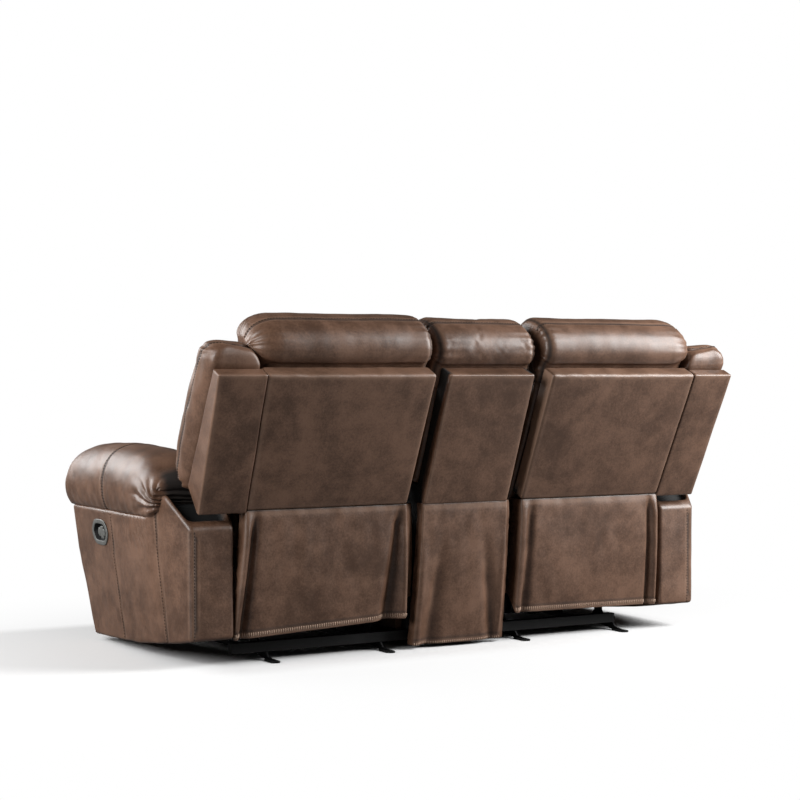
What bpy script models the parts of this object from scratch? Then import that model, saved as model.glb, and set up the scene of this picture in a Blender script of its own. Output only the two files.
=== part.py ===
# Gliding, reclining loveseat with a fixed centre console, metres, front at -Y, up +Z.
import bpy
import bmesh
from math import atan2, cos, pi, radians, sin, sqrt
from mathutils import Matrix, Vector
from mathutils.geometry import tessellate_polygon

# Clearances
GAP = 0.0004
PIN_PLAY = 0.0005

# Recliner widths: the seat starts beside the console, the rest follows its two edges
CONSOLE_HALF = 0.172
CONSOLE_CLEARANCE = 0.016
SEAT_WIDTH = 0.587
MECHANISM_IN = 0.261
BACK_IN = 0.023
BACK_EDGE = 0.020
WING_REACH = 0.135
FOOTREST_EDGE = 0.023
BACK_SPLAY = 0.017
SEAT_INNER_X = CONSOLE_HALF + CONSOLE_CLEARANCE
ARM_INNER_X = SEAT_INNER_X + SEAT_WIDTH
MECHANISM_X = SEAT_INNER_X + MECHANISM_IN
BACK_INNER_X = SEAT_INNER_X + BACK_IN
BACK_OUTER_X = ARM_INNER_X - BACK_EDGE
WING_OUTER_X = ARM_INNER_X + WING_REACH
FOOTREST_OUTER_X = ARM_INNER_X - FOOTREST_EDGE

# Leaning back of a recliner
SEAM_Y = 0.348
SEAM_Z = 0.457
BACK_LEAN = radians(24.47)
PANEL_HEIGHT = 0.4395
PANEL_DEPTH = 0.062

# Axle of the back, in the leaning frame
PIVOT_DOWN = 0.055
PIVOT_IN = 0.040
PIVOT_RADIUS = 0.009

# Glide
UPPER_PIVOT_Z = 0.215
LINK_LENGTH = 0.120
FRONT_LINK_Y = -0.080
REAR_LINK_Y = 0.170
LINK_HALF_WIDTH = 0.013
ROD_RADIUS = 0.007

# Planes of the mechanism, each side of its middle
UPRIGHT_PLANE = (0.195, 0.200)
LINK_PLANE = (0.1835, 0.1895)
PLATE_PLANE = (0.172, 0.178)
LUG_PLANE = (0.149, 0.161)
DRIVE_PLANE = (0.146, 0.152)
CARRIER_PLANE = (0.136, 0.142)
BRACKET_PLANE = (0.126, 0.132)

# Footrest linkage
DRIVE_Y = -0.330
DRIVE_Z = 0.240
DRIVE_LENGTH = 0.180
DRIVE_START = radians(215.0)
TORSION_RADIUS = 0.011
KNEE_PIN_RADIUS = 0.005
FOOT_LINK_HALF_WIDTH = 0.011
BOARD_PIVOT_Y = -0.405
BOARD_PIVOT_Z = 0.245
BOARD_REAR_Y = -0.425
BOARD_THICK = 0.015
BOARD_Z0 = 0.095
BOARD_Z1 = 0.392
FOOTREST_FRONT_Y = -0.505

# Seat
FRAME_Z0 = 0.285
FRAME_Z1 = 0.335
FRAME_FRONT_Y = -0.400
FRAME_REAR_Y = 0.248
FRAME_RAIL = 0.030
DECK_THICK = 0.005
SEAT_TOP_Z = 0.490

# Arm
ARM_TOP_Z = 0.430
ARM_WALL = 0.012
PAD_TOP_Z = 0.650
PAD_FRONT_Y = -0.530

# Handle
HANDLE_Y = -0.252
HANDLE_Z = 0.362
HANDLE_OUT = 0.2044
HANDLE_TILT = radians(5.75)
BEZEL_LONG = 0.104
BEZEL_HIGH = 0.080
BEZEL_RIM = 0.010
BEZEL_FLANGE = 0.003
CUP_DEPTH = 0.026
CUP_WALL = 0.003
LEVER_AXIS_BACK = 0.024
LEVER_RADIUS = 0.004

# Base
BAR_Z0 = 0.025
BAR_Z1 = 0.055
FRONT_BAR_Y = -0.130
REAR_BAR_Y = 0.235
BAR_DEPTH = 0.030
BAR_END = 0.006
BAR_REACH = 0.002
FOOT_Y = 0.330
FRONT_FOOT_Y = -0.270
FOOT_WIDTH = 0.028

# Console
CONSOLE_FRONT_Y = -0.440
CONSOLE_REAR_Y = 0.2096
CONSOLE_DECK_Z = 0.560
CUP_RADIUS = 0.042
CUP_WELL = 0.072
CUP_Y = -0.325
CUP_X = 0.070
LID_FRONT_Y = -0.222
LID_REAR_Y = 0.128
LID_TOP_Z = 0.618
LID_AXIS_Y = 0.146
LID_AXIS_Z = 0.572
LID_ROD = 0.005
BIN_Z = 0.300
CONSOLE_SEAM_Y = 0.353
CONSOLE_LEAN = radians(21.55)
CONSOLE_PANEL_HEIGHT = 0.430
CONSOLE_PANEL_HALF = CONSOLE_HALF - 0.018
CONSOLE_PILLOW_HALF = CONSOLE_HALF + 0.008
PILLOW_CLEARANCE = 0.015
CONSOLE_LUMBAR_U = 0.060
LUMBAR_U = -0.052
PILLOW_DROP = 0.0740
CONSOLE_PLUMP = 0.72

# Flaps
FLAP_THICK = 0.004
FLAP_HEM_Z = 0.090
FLAP_HEM_Y = 0.309
CONSOLE_HEM_Z = 0.011
CONSOLE_HEM_Y = 0.296


for old in list(bpy.data.objects):
    bpy.data.objects.remove(old, do_unlink=True)
for old in list(bpy.data.meshes):
    bpy.data.meshes.remove(old)


def material(name, colour, rough, metal):
    made = bpy.data.materials.new(name)
    made.use_nodes = True
    shader = made.node_tree.nodes["Principled BSDF"]
    shader.inputs["Base Color"].default_value = (*colour, 1.0)
    shader.inputs["Roughness"].default_value = rough
    shader.inputs["Metallic"].default_value = metal
    return made


LEATHER = material("leather", (0.085, 0.048, 0.032), 0.45, 0.0)
STEEL = material("painted_metal", (0.012, 0.012, 0.012), 0.45, 0.0)
TIMBER = material("wood", (0.45, 0.31, 0.18), 0.6, 0.0)
WEBBING = material("fabric", (0.03, 0.03, 0.03), 0.9, 0.0)
GREY_PLASTIC = material("matte_plastic", (0.22, 0.22, 0.22), 0.4, 0.0)
BLACK_CABLE = material("rubber", (0.02, 0.02, 0.02), 0.6, 0.0)
BRIGHT_STEEL = material("brushed_steel", (0.6, 0.6, 0.6), 0.3, 1.0)


def mesh_from(verts, faces):
    bm = bmesh.new()
    made = [bm.verts.new(v) for v in verts]
    for face in faces:
        bm.faces.new([made[i] for i in face])
    bmesh.ops.remove_doubles(bm, verts=bm.verts, dist=0.000001)
    bmesh.ops.triangulate(bm, faces=bm.faces)
    bmesh.ops.recalc_face_normals(bm, faces=bm.faces)
    return bm


def loft(loops):
    """Closed skin through loops of equal length, with a cap on the first and the last."""
    count = len(loops[0])
    verts = [Vector(p) for loop in loops for p in loop]
    faces = []
    for k in range(len(loops) - 1):
        a = k * count
        b = a + count
        for i in range(count):
            j = (i + 1) % count
            faces.append((a + i, a + j, b + j, b + i))
    faces.append(tuple(range(count)))
    last = (len(loops) - 1) * count
    faces.append(tuple(last + i for i in reversed(range(count))))
    return mesh_from(verts, faces)


def plate(outline, holes, x0, x1):
    """Flat plate in the YZ plane with holes, from x0 to x1."""
    rings = [outline] + holes
    flat = [[Vector((y, z, 0.0)) for y, z in ring] for ring in rings]
    points = [p for ring in rings for p in ring]
    verts = [(x0, y, z) for y, z in points] + [(x1, y, z) for y, z in points]
    count = len(points)
    faces = []
    for a, b, c in tessellate_polygon(flat):
        faces.append((a, b, c))
        faces.append((count + c, count + b, count + a))
    start = 0
    for ring in rings:
        size = len(ring)
        for i in range(size):
            j = (i + 1) % size
            faces.append((start + i, start + j, count + start + j, count + start + i))
        start += size
    return mesh_from(verts, faces)


def box(x0, x1, y0, y1, z0, z1):
    return plate([(y0, z0), (y1, z0), (y1, z1), (y0, z1)], [], x0, x1)


def ring_points(y, z, radius, count=16):
    return [(y + radius * cos(2 * pi * i / count), z + radius * sin(2 * pi * i / count)) for i in range(count)]


def rod(x0, x1, y, z, radius, count=16):
    return plate(ring_points(y, z, radius, count), [], x0, x1)


def hole(y, z, pin_radius, count=16):
    """Ring that a pin of the given radius turns in freely."""
    return ring_points(y, z, (pin_radius + PIN_PLAY) / cos(pi / count), count)


def capsule(y0, z0, y1, z1, half, count=7):
    """Outline of a bar with round ends between two points."""
    angle = atan2(z1 - z0, y1 - y0)
    points = []
    for i in range(count):
        turn = angle + pi / 2 + pi * i / (count - 1)
        points.append((y0 + half * cos(turn), z0 + half * sin(turn)))
    for i in range(count):
        turn = angle - pi / 2 + pi * i / (count - 1)
        points.append((y1 + half * cos(turn), z1 + half * sin(turn)))
    return points


def combine(first, second, operation):
    """Exact Boolean of two meshes; returns a new mesh."""
    made = []
    for bm in (first, second):
        mesh = bpy.data.meshes.new("work")
        bm.to_mesh(mesh)
        bm.free()
        obj = bpy.data.objects.new("work", mesh)
        bpy.context.scene.collection.objects.link(obj)
        made.append(obj)
    cut = made[0].modifiers.new("cut", "BOOLEAN")
    cut.operation = operation
    cut.solver = "EXACT"
    cut.object = made[1]
    made[1].hide_render = True
    made[1].display_type = "WIRE"
    graph = bpy.context.evaluated_depsgraph_get()
    result = bpy.data.meshes.new_from_object(made[0].evaluated_get(graph))
    bm = bmesh.new()
    bm.from_mesh(result)
    for obj in made:
        mesh = obj.data
        bpy.data.objects.remove(obj, do_unlink=True)
        bpy.data.meshes.remove(mesh)
    bpy.data.meshes.remove(result)
    bmesh.ops.triangulate(bm, faces=bm.faces)
    bmesh.ops.dissolve_degenerate(bm, dist=0.000001, edges=bm.edges)
    return bm


def join_all(parts):
    whole = parts[0]
    for extra in parts[1:]:
        whole = combine(whole, extra, "UNION")
    return whole


def cut_all(whole, cutters):
    for cutter in cutters:
        whole = combine(whole, cutter, "DIFFERENCE")
    return whole


def add(name, bm, mat, side=1, origin=(0.0, 0.0, 0.0)):
    """Put a mesh in the scene; side -1 mirrors it to the right of the middle."""
    if side < 0:
        for v in bm.verts:
            v.co.x = -v.co.x
        bmesh.ops.reverse_faces(bm, faces=bm.faces)
    bmesh.ops.recalc_face_normals(bm, faces=bm.faces)
    mesh = bpy.data.meshes.new(name)
    bm.to_mesh(mesh)
    bm.free()
    place = Vector((side * origin[0], origin[1], origin[2]))
    mesh.transform(Matrix.Translation(-place))
    mesh.materials.append(mat)
    obj = bpy.data.objects.new(name, mesh)
    obj.location = place
    bpy.context.scene.collection.objects.link(obj)
    return obj


def lean_point(u, v, seam_y=SEAM_Y, lean=BACK_LEAN):
    """World y and z of a point u up the rear face and v in front of it."""
    return (seam_y + u * sin(lean) - v * cos(lean), SEAM_Z + u * cos(lean) + v * sin(lean))


def soft_loft(outline, stations, to_world):
    """Loft an outline of (a, b) points along stations of (place, scale a, scale b), scaled about its middle."""
    mid_a = sum(a for a, b in outline) / len(outline)
    mid_b = sum(b for a, b in outline) / len(outline)
    loops = []
    for place, scale_a, scale_b in stations:
        loops.append(
            [to_world(place, mid_a + (a - mid_a) * scale_a, mid_b + (b - mid_b) * scale_b) for a, b in outline]
        )
    return loft(loops)


def pillow_stations(x0, x1, end=0.86):
    wide = x1 - x0
    steps = ((0.0, 0.0), (0.025, 0.55), (0.08, 0.85), (0.2, 0.97), (0.35, 1.0), (0.65, 1.0), (0.8, 0.97),
             (0.92, 0.85), (0.975, 0.55), (1.0, 0.0))
    return [(x0 + wide * t, end + (1.0 - end) * s, end + (1.0 - end) * s) for t, s in steps]


PIVOT_Y, PIVOT_Z = lean_point(-PIVOT_DOWN, PIVOT_IN)
LOWER_PIVOT_Z = UPPER_PIVOT_Z - LINK_LENGTH
KNEE_Y = DRIVE_Y - DRIVE_LENGTH * cos(DRIVE_START)
KNEE_Z = DRIVE_Z + DRIVE_LENGTH * sin(DRIVE_START)
SEAT_OUTER_X = ARM_INNER_X - GAP
HANDLE_X = ARM_INNER_X + HANDLE_OUT


# Base rails: flat runner with sloping legs, two uprights and flat feet
def base_rail(name, side, middle, outward):
    x0 = middle + outward * UPRIGHT_PLANE[0]
    x1 = middle + outward * UPRIGHT_PLANE[1]
    top = BAR_Z0 - GAP
    post = 0.020
    outline = [
        (FRONT_FOOT_Y, 0.0), (FRONT_FOOT_Y + 0.040, 0.0), (FRONT_LINK_Y - 0.085, 0.010),
        (REAR_LINK_Y + 0.035, 0.010), (FOOT_Y - 0.062, 0.0), (FOOT_Y - 0.012, 0.0), (FOOT_Y - 0.012, 0.005),
        (FOOT_Y - 0.062, 0.012), (REAR_BAR_Y + 0.020, top), (REAR_BAR_Y - 0.018, top),
        (REAR_LINK_Y + post, 0.060),
    ]
    for i in range(7):
        turn = pi * i / 6
        outline.append((REAR_LINK_Y + 0.016 * cos(turn), UPPER_PIVOT_Z + 0.016 * sin(turn)))
    outline += [(REAR_LINK_Y - post, 0.060), (REAR_LINK_Y - post - 0.020, top),
                (FRONT_LINK_Y + post + 0.020, top), (FRONT_LINK_Y + post, 0.060)]
    for i in range(7):
        turn = pi * i / 6
        outline.append((FRONT_LINK_Y + 0.016 * cos(turn), UPPER_PIVOT_Z + 0.016 * sin(turn)))
    outline += [(FRONT_LINK_Y - post, 0.060), (FRONT_LINK_Y - post - 0.008, top), (FRONT_BAR_Y - 0.030, top),
                (FRONT_FOOT_Y + 0.040, 0.012), (FRONT_FOOT_Y, 0.005)]
    holes = [hole(FRONT_LINK_Y, UPPER_PIVOT_Z, ROD_RADIUS), hole(REAR_LINK_Y, UPPER_PIVOT_Z, ROD_RADIUS)]
    rail = plate(outline, holes, min(x0, x1), max(x0, x1))
    middle_x = (x0 + x1) / 2
    for y0, y1 in ((FOOT_Y - 0.075, FOOT_Y), (FRONT_FOOT_Y - 0.010, FRONT_FOOT_Y + 0.055)):
        half = FOOT_WIDTH / 2
        foot = []
        for i in range(7):
            turn = pi * i / 6
            foot.append((middle_x + half * cos(turn), y1 - half + half * sin(turn)))
        for i in range(7):
            turn = pi + pi * i / 6
            foot.append((middle_x + half * cos(turn), y0 + half + half * sin(turn)))
        pad = loft([[(x, y, 0.0) for x, y in foot], [(x, y, 0.0049) for x, y in foot]])
        rail = combine(rail, pad, "UNION")
    add(name, rail, STEEL, side)


for side, word in ((1, "left"), (-1, "right")):
    base_rail("base_rail_" + word + "_outer", side, MECHANISM_X, 1)
    base_rail("base_rail_" + word + "_inner", side, MECHANISM_X, -1)

# Cross bars that tie the rails and the console; the rear one reaches out past the left rails
half = BAR_DEPTH / 2
bar_x = MECHANISM_X + UPRIGHT_PLANE[1] + BAR_END
add("cross_bar_front", box(-bar_x, bar_x, FRONT_BAR_Y - half, FRONT_BAR_Y + half, BAR_Z0, BAR_Z1), STEEL)
add("cross_bar_rear", box(-bar_x, BACK_OUTER_X + BAR_REACH, REAR_BAR_Y - half, REAR_BAR_Y + half, BAR_Z0,
                              BAR_Z1), STEEL)

# Console box with its bin, cup wells and hinge ears
floor_z = BAR_Z1 + GAP
lid_seat = LID_AXIS_Z - 0.018
console = plate(
    [
        (CONSOLE_FRONT_Y, 0.020), (FRONT_BAR_Y - half - 0.020, 0.020), (FRONT_BAR_Y - half - 0.012, floor_z),
        (CONSOLE_REAR_Y, floor_z), (CONSOLE_REAR_Y, lid_seat), (LID_FRONT_Y - 0.006, lid_seat),
        (LID_FRONT_Y - 0.008, CONSOLE_DECK_Z), (CONSOLE_FRONT_Y + 0.015, CONSOLE_DECK_Z),
        (CONSOLE_FRONT_Y, CONSOLE_DECK_Z - 0.020),
    ],
    [], -CONSOLE_HALF, CONSOLE_HALF,
)
ear_x = CONSOLE_HALF - 0.032
ear = capsule(LID_AXIS_Y, lid_seat - 0.010, LID_AXIS_Y, LID_AXIS_Z, 0.011)
ears = [plate(ear, [], x - 0.006, x + 0.006) for x in (-ear_x, ear_x)]
console = join_all([console] + ears)
bin_x = CONSOLE_HALF - 0.022
wells = [rod(-ear_x - 0.007, -ear_x + 0.007, LID_AXIS_Y, LID_AXIS_Z, (LID_ROD + PIN_PLAY) / cos(pi / 16)),
         rod(ear_x - 0.007, ear_x + 0.007, LID_AXIS_Y, LID_AXIS_Z, (LID_ROD + PIN_PLAY) / cos(pi / 16)),
         box(-bin_x, bin_x, LID_FRONT_Y + 0.020, LID_REAR_Y - 0.015, BIN_Z, 0.7)]
for x in (-CUP_X, CUP_X):
    ring = ring_points(x, CUP_Y, (CUP_RADIUS + 0.002 + GAP) / cos(pi / 24), 24)
    low = CONSOLE_DECK_Z - CUP_WELL - 0.002 - GAP
    wells.append(loft([[(a, b, low) for a, b in ring], [(a, b, 0.7) for a, b in ring]]))
console = cut_all(console, wells)
add("console_box", console, LEATHER)

# Twin cup insert
flange = 0.003
rim_z = CONSOLE_DECK_Z + GAP
half_x = CUP_X + CUP_RADIUS + 0.026
half_y = CUP_RADIUS + 0.022
insert = box(-half_x, half_x, CUP_Y - half_y, CUP_Y + half_y, rim_z, rim_z + flange)
for x in (-CUP_X, CUP_X):
    ring = ring_points(x, CUP_Y, CUP_RADIUS + 0.002, 24)
    low = CONSOLE_DECK_Z - CUP_WELL - 0.002
    insert = combine(insert, loft([[(a, b, low) for a, b in ring], [(a, b, rim_z + 0.001) for a, b in ring]]),
                     "UNION")
for x in (-CUP_X, CUP_X):
    ring = ring_points(x, CUP_Y, CUP_RADIUS, 24)
    low = CONSOLE_DECK_Z - CUP_WELL
    insert = combine(insert, loft([[(a, b, low) for a, b in ring], [(a, b, 0.7) for a, b in ring]]), "DIFFERENCE")
add("cup_holder_insert", insert, BRIGHT_STEEL)

# Console lid: padded board with two knuckles on the hinge rod
lid_z = lid_seat + GAP
lid_outline = [
    (LID_FRONT_Y, lid_z), (LID_REAR_Y, lid_z), (LID_REAR_Y + 0.002, lid_z + 0.022), (LID_REAR_Y - 0.004, lid_z + 0.044),
    (LID_REAR_Y - 0.030, LID_TOP_Z - 0.006), (LID_REAR_Y - 0.100, LID_TOP_Z), ((LID_FRONT_Y + LID_REAR_Y) / 2, LID_TOP_Z),
    (LID_FRONT_Y + 0.090, LID_TOP_Z), (LID_FRONT_Y + 0.030, LID_TOP_Z - 0.008), (LID_FRONT_Y + 0.002, lid_z + 0.040),
    (LID_FRONT_Y - 0.003, lid_z + 0.020),
]
lid_loops = []
for t, drop, inset in ((-1.0, 0.016, 0.010), (-0.975, 0.007, 0.003), (-0.88, 0.002, 0.0), (-0.5, 0.0, 0.0),
                       (0.5, 0.0, 0.0), (0.88, 0.002, 0.0), (0.975, 0.007, 0.003), (1.0, 0.016, 0.010)):
    loop = []
    for y, z in lid_outline:
        rise = (z - lid_z) / (LID_TOP_Z - lid_z)
        pull = inset if y < LID_FRONT_Y + 0.1 else -inset if y > LID_REAR_Y - 0.1 else 0.0
        loop.append((t * (CONSOLE_HALF - 0.004), y + pull, z - drop * rise))
    lid_loops.append(loop)
lid = loft(lid_loops)
knuckle = [(LID_REAR_Y - 0.020, lid_z + 0.008), (LID_AXIS_Y - 0.004, LID_AXIS_Z - 0.010), (LID_AXIS_Y + 0.006, LID_AXIS_Z - 0.009),
           (LID_AXIS_Y + 0.011, LID_AXIS_Z), (LID_AXIS_Y + 0.006, LID_AXIS_Z + 0.009),
           (LID_AXIS_Y - 0.004, LID_AXIS_Z + 0.011), (LID_REAR_Y - 0.020, lid_z + 0.030)]
for x in (-ear_x + 0.020, ear_x - 0.020):
    arm = plate(knuckle, [hole(LID_AXIS_Y, LID_AXIS_Z, LID_ROD)], x - 0.006, x + 0.006)
    lid = combine(lid, arm, "UNION")
add("console_lid", lid, LEATHER, 1, (0.0, LID_AXIS_Y, LID_AXIS_Z))
add("console_lid_hinge", rod(-ear_x - 0.010, ear_x + 0.010, LID_AXIS_Y, LID_AXIS_Z, LID_ROD), STEEL)


# Console back: leaning panel on a post that stands on the rear bar
def console_point(u, v):
    return lean_point(u, v, CONSOLE_SEAM_Y, CONSOLE_LEAN)


post_front = CONSOLE_REAR_Y + GAP
post_rear = REAR_BAR_Y + half
frame_outline = [
    console_point(0.0, 0.0), console_point(CONSOLE_PANEL_HEIGHT, 0.0), console_point(CONSOLE_PANEL_HEIGHT, PANEL_DEPTH),
    console_point(0.0, PANEL_DEPTH), (post_front, 0.515), (post_front, floor_z), (post_rear, floor_z),
    (post_rear, SEAM_Z + 0.0015),
]
add("console_back_frame", plate(frame_outline, [], -CONSOLE_PANEL_HALF, CONSOLE_PANEL_HALF), LEATHER)

# Head pillow outline as (forward, above the panel top), lumbar cushion as (forward, share of its height)
face = PANEL_DEPTH + GAP
PILLOW = [
    (face, 0.0020), (0.051, 0.0155), (0.046, 0.0405), (0.052, 0.0665), (0.070, 0.0915), (0.100, 0.1095),
    (0.140, 0.1195), (0.185, 0.1165), (0.226, 0.0995), (0.256, 0.0655), (0.266, 0.0255), (0.260, -0.0195),
    (0.243, -0.0535), (0.205, -0.0735), (0.150, -0.0770), (0.100, -0.0755), (face, -0.0675),
]
LUMBAR = [
    (face, 0.0813), (0.110, 0.0287), (0.170, 0.0), (0.215, 0.0144), (0.243, 0.1005), (0.258, 0.2440), (0.264, 0.4115),
    (0.262, 0.6029), (0.252, 0.7703), (0.238, 0.9019), (0.212, 0.9665), (0.160, 0.9880), (0.110, 0.9904), (face, 1.0),
]


def console_world(x, v, u):
    y, z = console_point(u, v)
    return (x, y, z)


def seat_world(x, v, u):
    y, z = lean_point(u, v)
    return (x, y, z)


def cushion_outline(panel_height, low, plump):
    """Lumbar outline from low up to just under the head pillow."""
    tall = panel_height - PILLOW_DROP - low
    return [(face + (v - face) * plump, low + tall * share) for v, share in LUMBAR]


console_pillow = [(v, u + CONSOLE_PANEL_HEIGHT) for v, u in PILLOW]
console_lumbar = cushion_outline(CONSOLE_PANEL_HEIGHT, CONSOLE_LUMBAR_U, CONSOLE_PLUMP)
add("console_head_pillow", soft_loft(console_pillow, pillow_stations(-CONSOLE_PILLOW_HALF, CONSOLE_PILLOW_HALF),
                                     console_world), LEATHER)
add("console_back_cushion", soft_loft(console_lumbar, pillow_stations(-CONSOLE_HALF, CONSOLE_HALF, 0.9),
                                      console_world), LEATHER)


# Hanging skirts: a sheet with side returns and folds that open below the seam
def skirt(x0, x1, flare0, flare1, top, hem, fold):
    """Sheet from the seam at top (y, z) to the hem (y, z); flares widen the hem."""
    wide = x1 - x0
    plan = [
        (0.0, 0.010, -0.038, 0.2), (0.0, 0.001, -0.012, 0.6), (0.0, 0.0, 0.0, 0.6), (0.0, 0.022, 0.002, 1.0),
        (0.0, 0.040, -0.003, 1.0), (0.0, 0.062, 0.001, 0.8), (0.25, 0.0, 0.002, 0.3), (0.5, 0.0, 0.004, 0.3),
        (0.75, 0.0, 0.002, 0.3), (1.0, -0.062, 0.001, 0.8), (1.0, -0.040, -0.003, 1.0), (1.0, -0.022, 0.002, 1.0),
        (1.0, 0.0, 0.0, 0.6), (1.0, -0.001, -0.012, 0.6), (1.0, -0.010, -0.038, 0.2),
    ]
    loops = []
    for k in range(7):
        t = k / 6
        line = []
        for share, offset, depth, weight in plan:
            left = x0 + flare0 * t
            right = x1 + flare1 * t
            x = left + (right - left) * share + offset
            y = top[0] + (hem[0] - top[0]) * t + 0.008 * sin(pi * t)
            if abs(depth) < 0.011:
                y += depth * weight * fold * t
            else:
                y += depth
            line.append(Vector((x, y)))
        inner = []
        for i, p in enumerate(line):
            before = line[max(i - 1, 0)]
            after = line[min(i + 1, len(line) - 1)]
            along = (after - before).normalized()
            inner.append(p + Vector((along.y, -along.x)) * FLAP_THICK)
        z = top[1] + (hem[1] - top[1]) * t
        loops.append([(p.x, p.y, z) for p in line] + [(p.x, p.y, z) for p in reversed(inner)])
    return loft(loops)


add("console_rear_flap", skirt(-CONSOLE_PANEL_HALF, CONSOLE_PANEL_HALF, -0.006, 0.006, (CONSOLE_SEAM_Y - 0.0005, SEAM_Z - GAP),
                               (CONSOLE_HEM_Y, CONSOLE_HEM_Z), 2.0), LEATHER)


# One recliner, built on the left and mirrored
def recliner(word, side):
    def name(text):
        return word + "_" + text

    def planes(pair):
        return [(MECHANISM_X - pair[1], MECHANISM_X - pair[0]), (MECHANISM_X + pair[0], MECHANISM_X + pair[1])]

    # Glide links: two hanging bars joined by the lower rod, with stub pins on top
    for text, y in (("swing_yoke_rear", REAR_LINK_Y), ("swing_yoke_front", FRONT_LINK_Y)):
        parts = [rod(MECHANISM_X - LINK_PLANE[1] + 0.001, MECHANISM_X + LINK_PLANE[1] - 0.001, y, LOWER_PIVOT_Z,
                     ROD_RADIUS)]
        bar = capsule(y, LOWER_PIVOT_Z, y, UPPER_PIVOT_Z, LINK_HALF_WIDTH)
        for x0, x1 in planes(LINK_PLANE):
            parts.append(plate(bar, [], x0, x1))
        reach = UPRIGHT_PLANE[1] + 0.004
        parts.append(rod(MECHANISM_X - reach, MECHANISM_X - LINK_PLANE[0] - 0.001, y, UPPER_PIVOT_Z, ROD_RADIUS))
        parts.append(rod(MECHANISM_X + LINK_PLANE[0] + 0.001, MECHANISM_X + reach, y, UPPER_PIVOT_Z, ROD_RADIUS))
        add(name(text), join_all(parts), STEEL, side, (MECHANISM_X, y, UPPER_PIVOT_Z))

    # Mechanism plates: lower pivots, footrest axle and the arm that carries the back
    top = FRAME_Z0 - GAP
    rear = FRAME_REAR_Y + 0.004
    low = LOWER_PIVOT_Z - 0.020
    outline = [
        (FRAME_FRONT_Y + 0.012, top), (FRAME_FRONT_Y + 0.012, DRIVE_Z + 0.020), (DRIVE_Y - 0.022, DRIVE_Z - 0.020),
        (DRIVE_Y + 0.030, DRIVE_Z - 0.026), (FRONT_LINK_Y - 0.030, low + 0.012), (FRONT_LINK_Y - 0.015, low),
        (REAR_LINK_Y + 0.015, low), (REAR_LINK_Y + 0.030, low + 0.012), (REAR_LINK_Y + 0.050, 0.200),
        (PIVOT_Y - 0.004, 0.290), (PIVOT_Y + 0.021, PIVOT_Z - 0.012), (PIVOT_Y + 0.021, PIVOT_Z + 0.008),
        (PIVOT_Y + 0.010, PIVOT_Z + 0.019), (PIVOT_Y - 0.010, PIVOT_Z + 0.019), (PIVOT_Y - 0.021, PIVOT_Z + 0.008),
        (PIVOT_Y - 0.023, PIVOT_Z - 0.030), (rear, 0.330), (rear, top),
    ]
    holes = [
        hole(DRIVE_Y, DRIVE_Z, TORSION_RADIUS), hole(FRONT_LINK_Y, LOWER_PIVOT_Z, ROD_RADIUS),
        hole(REAR_LINK_Y, LOWER_PIVOT_Z, ROD_RADIUS), hole(PIVOT_Y, PIVOT_Z, PIVOT_RADIUS),
    ]
    inner, outer = planes(PLATE_PLANE)
    add(name("side_plate_inner"), plate(outline, holes, *inner), STEEL, side)
    add(name("side_plate_outer"), plate(outline, holes, *outer), STEEL, side)

    # Seat: ring frame, spring deck and cushion
    x0 = SEAT_INNER_X
    x1 = SEAT_OUTER_X
    ring = []
    for z in (FRAME_Z0, FRAME_Z1):
        ring.append([(x0, FRAME_FRONT_Y, z), (x1, FRAME_FRONT_Y, z), (x1, FRAME_REAR_Y, z), (x0, FRAME_REAR_Y, z)])
    hollow = box(x0 + FRAME_RAIL, x1 - FRAME_RAIL, FRAME_FRONT_Y + FRAME_RAIL, FRAME_REAR_Y - FRAME_RAIL, 0.2, 0.4)
    add(name("seat_frame"), combine(loft(ring), hollow, "DIFFERENCE"), TIMBER, side)
    deck_z = FRAME_Z1 + GAP
    add(name("seat_deck"), box(x0 + 0.004, x1 - 0.004, FRAME_FRONT_Y + 0.004, FRAME_REAR_Y - 0.004, deck_z,
                               deck_z + DECK_THICK), WEBBING, side)
    base = deck_z + DECK_THICK + GAP
    front = FRAME_FRONT_Y - 0.018
    high = SEAT_TOP_Z
    section = [
        (front + 0.022, base), (-0.1, base), (FRAME_REAR_Y - 0.020, base), (FRAME_REAR_Y - 0.004, base + 0.030),
        (FRAME_REAR_Y - 0.006, base + 0.080), (FRAME_REAR_Y - 0.030, high - 0.036), (0.130, high - 0.016),
        (0.0, high - 0.004), (-0.150, high), (-0.280, high - 0.002), (-0.360, high - 0.014), (front + 0.010, high - 0.040),
        (front - 0.004, high - 0.075), (front, base + 0.040),
    ]
    loops = []
    for t, drop, pull in ((0.0, 0.034, 0.016), (0.02, 0.018, 0.006), (0.07, 0.008, 0.001), (0.2, 0.002, 0.0),
                          (0.5, 0.0, 0.0), (0.8, 0.002, 0.0), (0.93, 0.008, 0.001), (0.98, 0.018, 0.006),
                          (1.0, 0.034, 0.016)):
        loop = []
        for y, z in section:
            rise = (z - base) / (high - base)
            shift = pull if y < -0.2 else -pull if y > 0.1 else 0.0
            loop.append((x0 + 0.004 + (x1 - x0 - 0.010) * t, y + shift, z - drop * rise))
        loops.append(loop)
    add(name("seat_cushion"), loft(loops), LEATHER, side)

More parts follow.
